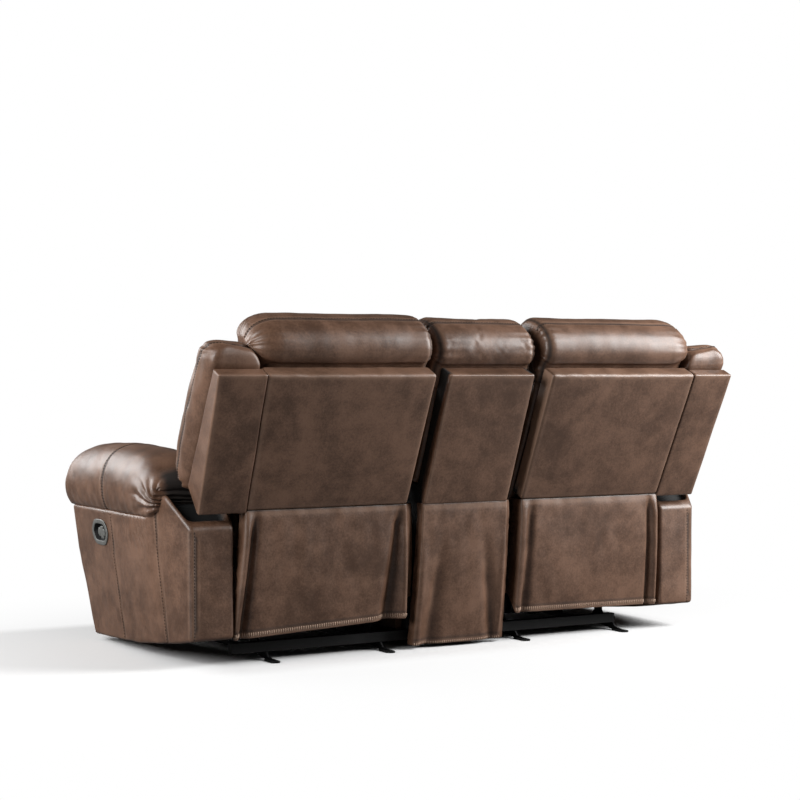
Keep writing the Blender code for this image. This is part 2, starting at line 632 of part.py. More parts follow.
    # Arm box: hollow shell, open below, with the handle opening and the cable hole
    ribs = [
        (-0.505, ARM_TOP_Z, 0.207, -0.424, 0.016, 0.160, 0.000), (-0.300, ARM_TOP_Z, 0.211, -0.250, 0.023, 0.162, 0.000),
        (-0.050, ARM_TOP_Z, 0.211, -0.050, 0.033, 0.163, 0.000), (0.120, ARM_TOP_Z, 0.207, 0.120, 0.053, 0.160, 0.000),
        (0.200, 0.505, 0.195, 0.190, 0.061, 0.157, 0.000), (0.225, 0.505, 0.190, 0.225, 0.066, 0.155, 0.000),
        (0.328, 0.408, 0.151, 0.328, 0.083, 0.151, 0.013),
    ]
    skin = []
    inside = []
    for k, (top_y, top_z, top_out, low_y, low_z, low_out, inner_out) in enumerate(ribs):
        top_x = ARM_INNER_X + top_out
        low_x = ARM_INNER_X + low_out
        inner_x = ARM_INNER_X + inner_out
        mid_y = (top_y * 2 + low_y) / 3
        mid_z = (top_z * 2 + low_z) / 3
        skin.append([
            (inner_x, low_y, low_z), (low_x, low_y, low_z), (low_x + (top_x - low_x) * 0.72, mid_y, mid_z),
            (top_x, top_y, top_z), (inner_x, top_y, top_z),
        ])
        w = ARM_WALL
        shift = w if k == 0 else -w if k == len(ribs) - 1 else 0.0
        high_z = top_z - w - (0.012 if k > 3 else 0.0)
        inside.append([
            (inner_x + w, low_y + shift, low_z - 0.05), (low_x - w, low_y + shift, low_z - 0.05),
            (low_x + (top_x - low_x) * 0.72 - w, mid_y + shift, mid_z), (top_x - w, top_y + shift, high_z),
            (inner_x + w, top_y + shift, high_z),
        ])
    shell = combine(loft(skin), loft(inside), "DIFFERENCE")
    tilt = Matrix.Translation((HANDLE_X, HANDLE_Y, HANDLE_Z)) @ Matrix.Rotation(HANDLE_TILT, 4, "Y")

    def oval(grow, out, count=20):
        points = []
        for i in range(count):
            turn = 2 * pi * i / count
            a = (BEZEL_LONG / 2 - BEZEL_RIM + grow) * cos(turn)
            b = (BEZEL_HIGH / 2 - BEZEL_RIM + grow) * sin(turn)
            points.append(tilt @ Vector((out, a, b)))
        return points

    shell = combine(shell, loft([oval(CUP_WALL + 2 * GAP, -0.060), oval(CUP_WALL + 2 * GAP, 0.060)]), "DIFFERENCE")
    cable_y = -0.225
    cable_z = 0.255
    shell = combine(shell, rod(ARM_INNER_X - 0.02, ARM_INNER_X + 0.03, cable_y, cable_z, 0.0036, 12), "DIFFERENCE")
    add(name("arm_box"), shell, LEATHER, side)

    # Arm pad: pillow roll over the top of the arm
    seat_z = ARM_TOP_Z + GAP
    high = PAD_TOP_Z
    section = [
        (0.015, 0.0), (0.105, 0.0), (0.193, 0.0), (0.215, 0.10), (0.225, 0.28), (0.223, 0.50), (0.209, 0.72), (0.183, 0.88),
        (0.143, 0.97), (0.099, 1.0), (0.057, 0.97), (0.021, 0.88), (-0.005, 0.70), (-0.014, 0.48), (-0.011, 0.33), (0.003, 0.14),
    ]
    loops = []
    for y, low_z, rise, narrow in (
        (PAD_FRONT_Y, 0.050, 0.105, 0.60), (PAD_FRONT_Y + 0.006, 0.026, 0.145, 0.80),
        (PAD_FRONT_Y + 0.026, 0.004, 0.178, 0.94), (PAD_FRONT_Y + 0.070, 0.0, 0.199, 0.985),
        (PAD_FRONT_Y + 0.170, 0.0, 0.212, 1.0), (-0.200, 0.0, 0.219, 1.0), (-0.050, 0.0, high - seat_z, 1.0),
        (0.060, 0.0, high - seat_z, 0.99), (0.118, 0.0, 0.214, 0.97), (0.160, 0.040, 0.203, 0.92), (0.186, 0.070, 0.185, 0.82),
        (0.196, 0.088, 0.160, 0.66),
    ):
        loop = []
        for out, share in section:
            mid = 0.105
            loop.append((ARM_INNER_X + mid + (out - mid) * narrow, y, seat_z + low_z + (rise - low_z) * share))
        loops.append(loop)
    add(name("arm_pad"), loft(loops), LEATHER, side)

    # Release handle: recessed cup and the lever that turns in it
    rim = BEZEL_RIM
    cup = [
        oval(CUP_WALL, -CUP_DEPTH - CUP_WALL), oval(CUP_WALL, 0.0005), oval(rim, 0.0005), oval(rim - 0.001, BEZEL_FLANGE - 0.0006),
        oval(rim - 0.003, BEZEL_FLANGE), oval(0.002, BEZEL_FLANGE), oval(0.0, BEZEL_FLANGE - 0.002), oval(0.0, -CUP_DEPTH),
    ]
    bezel = loft(cup)
    add(name("handle_bezel"), bezel, GREY_PLASTIC, side)
    a_room = BEZEL_LONG / 2 - rim
    b_room = BEZEL_HIGH / 2 - rim
    tall = b_room * sqrt(1 - ((LEVER_AXIS_BACK + LEVER_RADIUS) / a_room) ** 2) - 0.0012
    lever_out = -LEVER_RADIUS - 0.003
    barrel = [[tilt @ Vector((lever_out + a, LEVER_AXIS_BACK + b, z)) for a, b in ring_points(0.0, 0.0, LEVER_RADIUS)]
              for z in (-tall, tall)]
    low_out = lever_out - 0.002
    paddle = []
    for out in (low_out, low_out + 0.004):
        paddle.append([tilt @ Vector((out, a, b)) for a, b in (
            (LEVER_AXIS_BACK, -0.018), (LEVER_AXIS_BACK, 0.018), (0.0, 0.021), (-0.016, 0.018), (-0.024, 0.008), (-0.024, -0.008),
            (-0.016, -0.018), (0.0, -0.021))])
    lever = combine(loft(barrel), loft(paddle), "UNION")
    axis_point = tilt @ Vector((lever_out, LEVER_AXIS_BACK, 0.0))
    add(name("handle_lever"), lever, GREY_PLASTIC, side, tuple(axis_point))

    # Release cable: from the back of the cup through the arm to the mechanism plate
    start = tilt @ Vector((-CUP_DEPTH - CUP_WALL - GAP, 0.0, 0.0))
    bend = tilt @ Vector((-CUP_DEPTH - 0.020, 0.0, -0.004))
    path = [start, bend, Vector((ARM_INNER_X + 0.115, -0.245, 0.320)),
            Vector((ARM_INNER_X + 0.065, cable_y - 0.008, 0.275)),
            Vector((ARM_INNER_X + 0.035, cable_y, cable_z)), Vector((ARM_INNER_X - 0.015, cable_y, cable_z)),
            Vector((ARM_INNER_X - 0.075, -0.222, 0.256)),
            Vector((MECHANISM_X + PLATE_PLANE[1] + GAP, -0.222, 0.256))]
    loops = []
    for i, p in enumerate(path):
        along = (path[min(i + 1, len(path) - 1)] - path[max(i - 1, 0)]).normalized()
        if i == 0:
            along = (tilt.to_3x3() @ Vector((-1.0, 0.0, 0.0))).normalized()
        if i > 3:
            along = Vector((-1.0, 0.0, 0.0))
        across = along.cross(Vector((0.0, 1.0, 0.0))).normalized()
        third = along.cross(across)
        loops.append([p + across * 0.003 * cos(2 * pi * k / 8) + third * 0.003 * sin(2 * pi * k / 8) for k in range(8)])
    add(name("release_cable"), loft(loops), BLACK_CABLE, side)

    # Back axle with peened ends
    reach = PLATE_PLANE[1] + GAP
    profile = [(-reach - 0.004, 0.013), (-reach, 0.013), (-reach, PIVOT_RADIUS), (reach, PIVOT_RADIUS), (reach, 0.013),
               (reach + 0.004, 0.013)]
    loops = [[(MECHANISM_X + x, y, z) for y, z in ring_points(PIVOT_Y, PIVOT_Z, r)] for x, r in profile]
    add(name("back_pivot_tube"), loft(loops), STEEL, side)

    # Back panel with two lugs on the axle
    pivot = (0.0, PIVOT_Y, PIVOT_Z)
    loops = []
    for u in (0.0, PANEL_HEIGHT):
        outer_x = BACK_OUTER_X + BACK_SPLAY * u / PANEL_HEIGHT
        loop = []
        for x, v in ((BACK_INNER_X, 0.0), (outer_x, 0.0), (outer_x, PANEL_DEPTH), (BACK_INNER_X, PANEL_DEPTH)):
            y, z = lean_point(u, v)
            loop.append((x, y, z))
        loops.append(loop)
    back = loft(loops)
    lug = [lean_point(0.010, PIVOT_IN - 0.018), lean_point(-PIVOT_DOWN, PIVOT_IN - 0.018)]
    for i in range(1, 6):
        turn = pi * i / 6
        lug.append(lean_point(-PIVOT_DOWN - 0.018 * sin(turn), PIVOT_IN - 0.018 * cos(turn)))
    lug += [lean_point(-PIVOT_DOWN, PIVOT_IN + 0.018), lean_point(0.010, PIVOT_IN + 0.018)]
    for x0, x1 in planes(LUG_PLANE):
        back = combine(back, plate(lug, [hole(PIVOT_Y, PIVOT_Z, PIVOT_RADIUS)], x0, x1), "UNION")
    add(name("back_frame"), back, LEATHER, side, (MECHANISM_X, PIVOT_Y, PIVOT_Z))
    add(name("back_cushion"), soft_loft(cushion_outline(PANEL_HEIGHT, LUMBAR_U, 1.0),
                                        pillow_stations(SEAT_INNER_X + 0.009, BACK_OUTER_X - 0.017, 0.9), seat_world), LEATHER, side,
        (MECHANISM_X, PIVOT_Y, PIVOT_Z))

    # Wing: box beside the panel and the bolster in front of it
    profile = [(0.0, 0.0), (PANEL_HEIGHT, 0.0), (PANEL_HEIGHT, 0.045), (0.055, 0.067), (0.0, 0.012)]
    loops = []
    for edge in (BACK_OUTER_X + GAP, WING_OUTER_X):
        loops.append([seat_world(edge + BACK_SPLAY * u / PANEL_HEIGHT, v, u) for u, v in profile])
    add(name("wing_panel"), loft(loops), LEATHER, side, (MECHANISM_X, PIVOT_Y, PIVOT_Z))
    def bolster(grow):
        wide = WING_OUTER_X - BACK_OUTER_X
        loops = []
        for u, back_v, front_v, narrow in (
            (0.010, 0.092, 0.135, 0.62), (0.016, 0.078, 0.152, 0.80), (0.036, 0.070, 0.166, 0.93), (0.070, 0.0672, 0.172, 1.0),
            (0.160, 0.0626, 0.176, 1.0), (0.260, 0.0572, 0.174, 1.0), (0.360, 0.0518, 0.166, 1.0), (0.4385, 0.0478, 0.156, 1.0),
            (0.466, 0.046, 0.146, 0.96), (0.486, 0.054, 0.132, 0.88), (0.496, 0.070, 0.112, 0.70),
        ):
            mid = BACK_OUTER_X + wide / 2 + BACK_SPLAY * u / PANEL_HEIGHT
            span = wide * narrow + 2 * grow
            v0 = back_v - grow
            deep = front_v + grow - v0
            rise = u + grow if u > 0.3 else u - grow
            loop = []
            for a, b in ((-0.49, 0.0), (-0.2, 0.0), (0.2, 0.0), (0.50, 0.0), (0.545, 0.18), (0.55, 0.45), (0.50, 0.72), (0.38, 0.90),
                         (0.16, 0.99), (-0.16, 1.0), (-0.36, 0.95), (-0.465, 0.80), (-0.495, 0.5), (-0.495, 0.18)):
                loop.append(seat_world(mid + a * span, v0 + deep * b, rise))
            loops.append(loop)
        return loft(loops)

    add(name("wing_pad"), bolster(0.0), LEATHER, side, (MECHANISM_X, PIVOT_Y, PIVOT_Z))

    # Head pillow: its outer end lies over the bolster
    pillow_x = CONSOLE_PILLOW_HALF + PILLOW_CLEARANCE
    pillow = soft_loft([(v, u + PANEL_HEIGHT) for v, u in PILLOW],
                       pillow_stations(pillow_x, BACK_OUTER_X + 0.057), seat_world)
    add(name("head_pillow"), combine(pillow, bolster(2 * GAP), "DIFFERENCE"), LEATHER, side,
        (MECHANISM_X, PIVOT_Y, PIVOT_Z))

    # Skirt below the back
    flap = skirt(BACK_INNER_X + 0.001, BACK_OUTER_X + 0.001, -0.004, 0.016, (SEAM_Y - 0.0005, SEAM_Z - GAP),
                 (FLAP_HEM_Y, FLAP_HEM_Z), 2.2)
    add(name("rear_flap"), flap, LEATHER, side)

    # Footrest: torsion tube with its links, second links, board and pad
    reach = PLATE_PLANE[1] + 0.006
    parts = [rod(MECHANISM_X - reach, MECHANISM_X + reach, DRIVE_Y, DRIVE_Z, TORSION_RADIUS)]
    for k, (x0, x1) in enumerate(planes(DRIVE_PLANE)):
        parts.append(plate(capsule(DRIVE_Y, DRIVE_Z, KNEE_Y, KNEE_Z, FOOT_LINK_HALF_WIDTH + 0.003), [], x0, x1))
        if k == 0:
            parts.append(rod(x0 + 0.002, x1 + 0.016, KNEE_Y, KNEE_Z, KNEE_PIN_RADIUS))
        else:
            parts.append(rod(x0 - 0.016, x1 - 0.002, KNEE_Y, KNEE_Z, KNEE_PIN_RADIUS))
    add(name("footrest_drive"), join_all(parts), STEEL, side, (MECHANISM_X, DRIVE_Y, DRIVE_Z))
    bar = capsule(KNEE_Y, KNEE_Z, BOARD_PIVOT_Y, BOARD_PIVOT_Z, FOOT_LINK_HALF_WIDTH)
    mid_y = (KNEE_Y + BOARD_PIVOT_Y) / 2
    mid_z = (KNEE_Z + BOARD_PIVOT_Z) / 2
    parts = []
    for k, (x0, x1) in enumerate(planes(CARRIER_PLANE)):
        parts.append(plate(bar, [hole(KNEE_Y, KNEE_Z, KNEE_PIN_RADIUS)], x0, x1))
        if k == 0:
            parts.append(rod(x0 + 0.002, x1 + 0.014, BOARD_PIVOT_Y, BOARD_PIVOT_Z, KNEE_PIN_RADIUS))
        else:
            parts.append(rod(x0 - 0.014, x1 - 0.002, BOARD_PIVOT_Y, BOARD_PIVOT_Z, KNEE_PIN_RADIUS))
    reach = CARRIER_PLANE[0] + 0.002
    parts.append(rod(MECHANISM_X - reach, MECHANISM_X + reach, mid_y, mid_z, 0.007))
    add(name("footrest_carrier"), join_all(parts), STEEL, side, (MECHANISM_X, KNEE_Y, KNEE_Z))
    board = box(SEAT_INNER_X + 0.012, FOOTREST_OUTER_X - 0.006, BOARD_REAR_Y - BOARD_THICK, BOARD_REAR_Y, BOARD_Z0, BOARD_Z1)
    lug = [(BOARD_REAR_Y - 0.004, BOARD_PIVOT_Z - 0.022), (BOARD_PIVOT_Y + 0.004, BOARD_PIVOT_Z - 0.011),
           (BOARD_PIVOT_Y + 0.011, BOARD_PIVOT_Z - 0.004), (BOARD_PIVOT_Y + 0.011, BOARD_PIVOT_Z + 0.004),
           (BOARD_PIVOT_Y + 0.004, BOARD_PIVOT_Z + 0.011), (BOARD_REAR_Y - 0.004, BOARD_PIVOT_Z + 0.022)]
    for x0, x1 in planes(BRACKET_PLANE):
        board = combine(board, plate(lug, [hole(BOARD_PIVOT_Y, BOARD_PIVOT_Z, KNEE_PIN_RADIUS)], x0, x1), "UNION")
    pivot = (MECHANISM_X, BOARD_PIVOT_Y, BOARD_PIVOT_Z)
    add(name("footrest_board"), board, TIMBER, side, pivot)
    back_y = BOARD_REAR_Y - BOARD_THICK - GAP
    z0 = BOARD_Z0 - 0.008
    z1 = BOARD_Z1 + 0.006
    deep = back_y - FOOTREST_FRONT_Y
    section = [(0.0, 0.03), (0.0, 0.5), (0.0, 0.97), (0.25, 1.0), (0.62, 0.985), (0.88, 0.93), (0.97, 0.80), (1.0, 0.5), (0.97, 0.20),
               (0.88, 0.07), (0.62, 0.015), (0.25, 0.0)]
    loops = []
    for t, thin, short in ((0.0, 0.50, 0.030), (0.015, 0.78, 0.010), (0.06, 0.93, 0.002), (0.2, 0.99, 0.0), (0.5, 1.0, 0.0),
                           (0.8, 0.99, 0.0), (0.94, 0.93, 0.002), (0.985, 0.78, 0.010), (1.0, 0.50, 0.030)):
        x = SEAT_INNER_X + 0.008 + (FOOTREST_OUTER_X - SEAT_INNER_X - 0.010) * t
        loops.append([(x, back_y - deep * d * thin, z0 + short + (z1 - z0 - 2 * short) * h) for d, h in section])
    add(name("footrest_pad"), loft(loops), LEATHER, side, pivot)


recliner("left", 1)
recliner("right", -1)
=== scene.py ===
# Gliding reclining loveseat with a centre console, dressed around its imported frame, in metres.
from math import cos, pi, radians, sin

import bmesh
import bpy
import numpy as np
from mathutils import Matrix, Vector, noise
from mathutils.bvhtree import BVHTree
from mathutils.kdtree import KDTree


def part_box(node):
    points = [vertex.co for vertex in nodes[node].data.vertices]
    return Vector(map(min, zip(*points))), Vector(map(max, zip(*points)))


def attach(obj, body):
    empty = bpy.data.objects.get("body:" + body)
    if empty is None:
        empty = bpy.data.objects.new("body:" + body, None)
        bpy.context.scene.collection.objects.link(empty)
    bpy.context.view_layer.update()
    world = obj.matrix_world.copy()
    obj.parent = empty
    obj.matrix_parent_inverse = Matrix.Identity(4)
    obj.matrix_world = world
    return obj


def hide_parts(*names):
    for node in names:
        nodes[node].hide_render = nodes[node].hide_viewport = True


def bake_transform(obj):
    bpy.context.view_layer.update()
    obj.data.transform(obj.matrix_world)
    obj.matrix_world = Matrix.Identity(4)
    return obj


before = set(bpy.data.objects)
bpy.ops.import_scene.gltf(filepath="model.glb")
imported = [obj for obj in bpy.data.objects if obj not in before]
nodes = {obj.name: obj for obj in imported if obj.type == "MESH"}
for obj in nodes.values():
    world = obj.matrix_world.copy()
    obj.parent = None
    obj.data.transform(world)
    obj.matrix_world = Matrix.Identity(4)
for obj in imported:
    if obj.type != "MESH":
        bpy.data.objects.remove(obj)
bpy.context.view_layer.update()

# Camera: it stands behind the left corner, level with the tops of the back panels, with a long lens,
# so that both backs, the console and the outside of the left arm show.
PICTURE_WIDE = 800
FOCAL_PIXELS = 1814
SENSOR_WIDE = 36.0
CAMERA_YAW = 3.6677
CAMERA_PITCH = -0.0143
scene = bpy.context.scene
scene.view_settings.view_transform = "Standard"
level = cos(CAMERA_PITCH)
look = Vector((sin(CAMERA_YAW) * level, cos(CAMERA_YAW) * level, sin(CAMERA_PITCH)))
lens = bpy.data.cameras.new("photo_camera")
lens.sensor_width = SENSOR_WIDE
lens.lens = SENSOR_WIDE * FOCAL_PIXELS / PICTURE_WIDE
camera = bpy.data.objects.new("photo_camera", lens)
camera.location = (3.0325, 5.1625, 0.8596)
camera.rotation_euler = look.to_track_quat("-Z", "Y").to_euler()
scene.collection.objects.link(camera)
scene.camera = camera


# Studio: a white room with a floor of white painted board, two soft lamps at the right rear, a wide one at
# the left and one before the left arm. The floor glows white away from the loveseat and keeps its shadow
# beside it. For the light that it throws back it is darker, so that little light comes from below.
class Wire:
    """A shader socket that takes part in sums, so that a pattern reads as a formula."""

    tree = None

    def __init__(self, socket):
        self.socket = socket

    @classmethod
    def node(cls, kind, settings, sockets, out=0):
        made = cls.tree.nodes.new(kind)
        for key, value in settings.items():
            setattr(made, key, value)
        for key, value in sockets.items():
            if isinstance(value, Wire):
                cls.tree.links.new(value.socket, made.inputs[key])
            else:
                made.inputs[key].default_value = value
        return cls(made.outputs[out])

    def maths(self, operation, first, second):
        return Wire.node("ShaderNodeMath", {"operation": operation}, {0: first, 1: second})

    def __add__(self, other):
        return self.maths("ADD", self, other)

    def __radd__(self, other):
        return self.maths("ADD", other, self)

    def __mul__(self, other):
        return self.maths("MULTIPLY", self, other)

    def __rmul__(self, other):
        return self.maths("MULTIPLY", other, self)

    def __sub__(self, other):
        return self.maths("SUBTRACT", self, other)

    def __rsub__(self, other):
        return self.maths("SUBTRACT", other, self)

    def __pow__(self, other):
        return self.maths("POWER", self, other)

    def into(self, shader, name):
        Wire.tree.links.new(self.socket, shader.inputs[name])


def tint(factor, first, second):
    return Wire.node("ShaderNodeMix", {"data_type": "RGBA"}, {0: factor, 6: first, 7: second}, 2)


def vectors(operation, first, second=(0.0, 0.0, 0.0), out=0):
    return Wire.node("ShaderNodeVectorMath", {"operation": operation}, {0: first, 1: second}, out)


def eased(value, low, high, top=1.0):
    """Nought up to one level of the value, then smoothly up to the top at another."""
    span = {"Value": value, "From Min": low, "From Max": high, "To Max": top}
    return Wire.node("ShaderNodeMapRange", {"interpolation_type": "SMOOTHSTEP"}, span)


def seen_ray():
    """One where the camera looks, straight or through a clear body, nought where light is gathered."""
    straight = Wire.node("ShaderNodeLightPath", {}, {}, "Is Camera Ray")
    through = Wire.node("ShaderNodeLightPath", {}, {}, "Is Transmission Ray")
    return straight + through


def grey(tone):
    return (tone, tone, tone, 1.0)


def srgb(red, green, blue):
    return tuple(((c / 255 + 0.055) / 1.055) ** 2.4 for c in (red, green, blue)) + (1.0,)


ROOM_LIGHT = 0.09
world = bpy.data.worlds.new("white_room")
scene.world = world
world.use_nodes = True
Wire.tree = world.node_tree
room = world.node_tree.nodes["Background"]
room.inputs["Color"].default_value = grey(1.0)
(ROOM_LIGHT + seen_ray() * (1.0 - ROOM_LIGHT)).into(room, "Strength")

FLOOR_HALF = 30.0
FLOOR_DULL = 0.64
FLOOR_CLEAN = 0.68
FLOOR_GATHERED = 0.17
SHADOW_MIDDLE = (0.25, -0.14, 0.0)
SHADOW_HALF = (1.12, 0.52, 0.0)
GLOW_BESIDE = (0.0, 0.14, 0.72)
GLOW_AWAY = (0.0, 1.0, 0.28)
board = bpy.data.meshes.new("studio_floor")
corners = [(a * FLOOR_HALF, b * FLOOR_HALF, 0.0) for a, b in ((-1, -1), (1, -1), (1, 1), (-1, 1))]
board.from_pydata(corners, [], [(0, 1, 2, 3)])
floor = bpy.data.objects.new("studio_floor", board)
scene.collection.objects.link(floor)
paper = bpy.data.materials.new("white_floor")
paper.use_nodes = True
Wire.tree = paper.node_tree
for old in list(paper.node_tree.nodes):
    if old.type != "OUTPUT_MATERIAL":
        paper.node_tree.nodes.remove(old)
scuff = Wire.node("ShaderNodeTexNoise", {}, {"Scale": 3.0, "Detail": 3.0})
shaded = tint(seen_ray(), grey(FLOOR_GATHERED), tint(scuff, grey(FLOOR_DULL), grey(FLOOR_CLEAN)))
matt = Wire.node("ShaderNodeBsdfDiffuse", {}, {"Color": shaded})
glow = Wire.node("ShaderNodeEmission", {}, {"Color": grey(1.0), "Strength": 1.0})
spot = vectors("SUBTRACT", Wire.node("ShaderNodeNewGeometry", {}, {}), SHADOW_MIDDLE)
spot = vectors("SUBTRACT", vectors("ABSOLUTE", spot), SHADOW_HALF)
spot = vectors("LENGTH", vectors("MAXIMUM", spot), out="Value")
glowing = seen_ray() * (eased(spot, *GLOW_BESIDE) + eased(spot, *GLOW_AWAY))
both = Wire.node("ShaderNodeMixShader", {}, {0: glowing, 1: matt, 2: glow})
both.into(paper.node_tree.nodes["Material Output"], "Surface")
board.materials.append(paper)


def soft_lamp(name, place, target, wide, high, watts):
    lamp = bpy.data.lights.new(name, "AREA")
    lamp.shape = "RECTANGLE"
    lamp.size = wide
    lamp.size_y = high
    lamp.energy = watts
    made = bpy.data.objects.new(name, lamp)
    made.location = place
    made.rotation_euler = (Vector(target) - Vector(place)).to_track_quat("-Z", "Y").to_euler()
    scene.collection.objects.link(made)


soft_lamp("lamp_right_high", (-2.1, 1.8, 2.4), (-0.4, 0.4, 0.9), wide=1.6, high=1.2, watts=104.0)
soft_lamp("lamp_right_low", (-2.5, 1.8, 1.4), (-0.4, 0.4, 0.6), wide=1.2, high=0.9, watts=92.0)
soft_lamp("lamp_left", (4.3, 0.9, 2.0), (0.7, 0.2, 0.5), wide=2.6, high=2.0, watts=220.0)
soft_lamp("lamp_front_left", (2.5, -2.7, 1.9), (0.9, 0.0, 0.5), wide=2.8, high=1.6, watts=96.0)


# Base: pressed steel rails with flat feet, tied by two square bars, with hung links and side plates.
# The parts are cut from plate, bent, riveted at the pivots and dipped in black satin paint.
def finish(name, constants):
    """A new material, ready for its pattern, and its shader."""
    made = bpy.data.materials.new(name)
    made.use_nodes = True
    Wire.tree = made.node_tree
    shader = made.node_tree.nodes["Principled BSDF"]
    for key, value in constants.items():
        shader.inputs[key].default_value = value
    return made, shader


def own_space():
    return Wire.node("ShaderNodeTexCoord", {}, {}, "Object")


def speckle(scale, detail=2.0, rough=0.5, bend=0.0, place=None):
    """Noise with so many grains to the metre of the piece's own space."""
    sockets = {"Scale": scale, "Detail": detail, "Roughness": rough, "Distortion": bend}
    sockets["Vector"] = place or own_space()
    return Wire.node("ShaderNodeTexNoise", {}, sockets)


def relief(shader, height, strength, deep):
    sockets = {"Strength": strength, "Distance": deep, "Height": height}
    Wire.node("ShaderNodeBump", {}, sockets).into(shader, "Normal")


black_steel, shader = finish("black_painted_steel", {"Specular IOR Level": 0.3})
dust = speckle(38.0, 5.0, 0.65)
tint(dust ** 3.0, srgb(3, 3, 3), srgb(17, 16, 16)).into(shader, "Base Color")
(0.34 + dust * 0.28).into(shader, "Roughness")
relief(shader, speckle(700.0), strength=0.2, deep=0.0004)


def paint_node(name, finish_used):
    mesh = nodes[name].data
    mesh.materials.clear()
    mesh.materials.append(finish_used)


for side_word in ("left", "right"):
    for part in ("base_rail_%s_outer", "base_rail_%s_inner", "%s_swing_yoke_rear", "%s_swing_yoke_front",
                 "%s_side_plate_inner", "%s_side_plate_outer", "%s_back_pivot_tube", "%s_footrest_drive",
                 "%s_footrest_carrier"):
        paint_node(part % side_word, black_steel)
for part in ("cross_bar_front", "cross_bar_rear", "console_lid_hinge"):
    paint_node(part, black_steel)

# Rivets: domed push caps of bright zinc that hold the rods on the outer faces of the rails and plates.
# Each is a small stamped cup with a rolled rim, pressed on the end of its rod.
SIDES = (("left", 1), ("right", -1))
MECHANISM_X = 0.449
LINK_PLACES = (("rear", 0.170), ("front", -0.080))
LINK_CAP = 0.0085
CAP_SHAPE = ((1.0, 0.0), (1.12, 0.0004), (1.12, 0.0012), (1.0, 0.0016), (0.86, 0.0030), (0.55, 0.0042))
CAP_TIP = 0.0047
CAP_TURNS = [2 * pi * k / 14 for k in range(14)]


def skin(name, verts, faces, finish_used):
    """A smooth mesh object whose faces look outward."""
    mesh = bpy.data.meshes.new(name)
    mesh.from_pydata(np.asarray(verts, float).tolist(), [], faces)
    bm = bmesh.new()
    bm.from_mesh(mesh)
    bmesh.ops.recalc_face_normals(bm, faces=bm.faces)
    bm.to_mesh(mesh)
    bm.free()
    mesh.polygons.foreach_set("use_smooth", [True] * len(mesh.polygons))
    mesh.materials.append(finish_used)
    made = bpy.data.objects.new(name, mesh)
    scene.collection.objects.link(made)
    return made


def lofted(verts, faces, loops, start_closed=True, end_closed=True):
    """Add a row of closed loops to a mesh, joined by quads and closed by a face at its ends."""
    size = len(loops[0])
    first = len(verts)
    for loop in loops:
        verts.extend(tuple(point) for point in loop)
    last = len(verts) - size
    for at in range(first, last, size):
        for k in range(size):
            n = (k + 1) % size
            faces.append((at + k, at + n, at + size + n, at + size + k))
    if start_closed:
        faces.append(tuple(range(first, first + size)))
    if end_closed:
        faces.append(tuple(range(last + size - 1, last - 1, -1)))


zinc, shader = finish("zinc_plate", {"Metallic": 1.0})
spangle = Wire.node("ShaderNodeTexVoronoi", {}, {"Vector": own_space(), "Scale": 260.0}, "Color")
tint(spangle, srgb(120, 120, 118), srgb(165, 165, 160)).into(shader, "Base Color")
(0.34 + speckle(120.0) * 0.2).into(shader, "Roughness")


def rod_ends(side, reach, y, z, radius):
    """Cap places at both ends of a rod, which reaches so far from the middle of the mechanism."""
    return [(side * (MECHANISM_X + out * reach), y, z, side * out, radius) for out in (-1, 1)]


def push_caps(name, spots, body):
    verts = []
    faces = []
    for x, y, z, out, radius in spots:
        loops = []
        for share, rise in CAP_SHAPE:
            wide = radius * share
            loops.append([(x + out * rise, y + wide * cos(t), z + wide * sin(t)) for t in CAP_TURNS])
        lofted(verts, faces, loops, end_closed=False)
        tip = len(verts)
        verts.append((x + out * CAP_TIP, y, z))
        rim = tip - len(CAP_TURNS)
        for k in range(len(CAP_TURNS)):
            faces.append((rim + k, rim + (k + 1) % len(CAP_TURNS), tip))
    caps = skin(name, verts, faces, zinc)
    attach(caps, body)


for side_word, side in SIDES:
    for part, y in LINK_PLACES:
        spots = rod_ends(side, reach=0.2043, y=y, z=0.215, radius=LINK_CAP)
        spots += rod_ends(side, reach=0.1898, y=y, z=0.095, radius=LINK_CAP)
        push_caps("%s_%s_link_caps" % (side_word, part), spots, "%s_%s_links" % (side_word, part))
    spots = rod_ends(side, reach=0.1823, y=0.2888, z=0.4235, radius=0.010)
    push_caps(side_word + "_back_caps", spots, side_word + "_carriage")
    spots = rod_ends(side, reach=0.1843, y=-0.330, z=0.240, radius=0.0115)
    push_caps(side_word + "_footrest_caps", spots, side_word + "_footrest_drive")


# Seat frame and footrest board: sawn softwood and plywood, screwed and stapled, stained nearly black.
# The grain runs along the loveseat, with darker late wood and dull sawn faces.
def bands(direction, scale, place=None, bend=0.0, detail=2.0):
    """Light and dark bands across one direction."""
    sockets = {"Vector": place or own_space(), "Scale": scale, "Distortion": bend, "Detail": detail}
    return Wire.node("ShaderNodeTexWave", {"bands_direction": direction}, sockets, "Fac")


softwood, shader = finish("stained_softwood", {})
along = vectors("MULTIPLY", own_space(), (1.6, 26.0, 26.0))
drift = speckle(1.4, 4.0, bend=0.8, place=along)
grain = bands("Z", 0.9, along, bend=5.0, detail=3.0) * 0.55 + drift * 0.45
tint(grain, srgb(24, 19, 15), srgb(52, 41, 32)).into(shader, "Base Color")
(0.62 + drift * 0.2).into(shader, "Roughness")
relief(shader, grain, strength=0.35, deep=0.0008)
for side_word, side in SIDES:
    paint_node(side_word + "_seat_frame", softwood)
    paint_node(side_word + "_footrest_board", softwood)

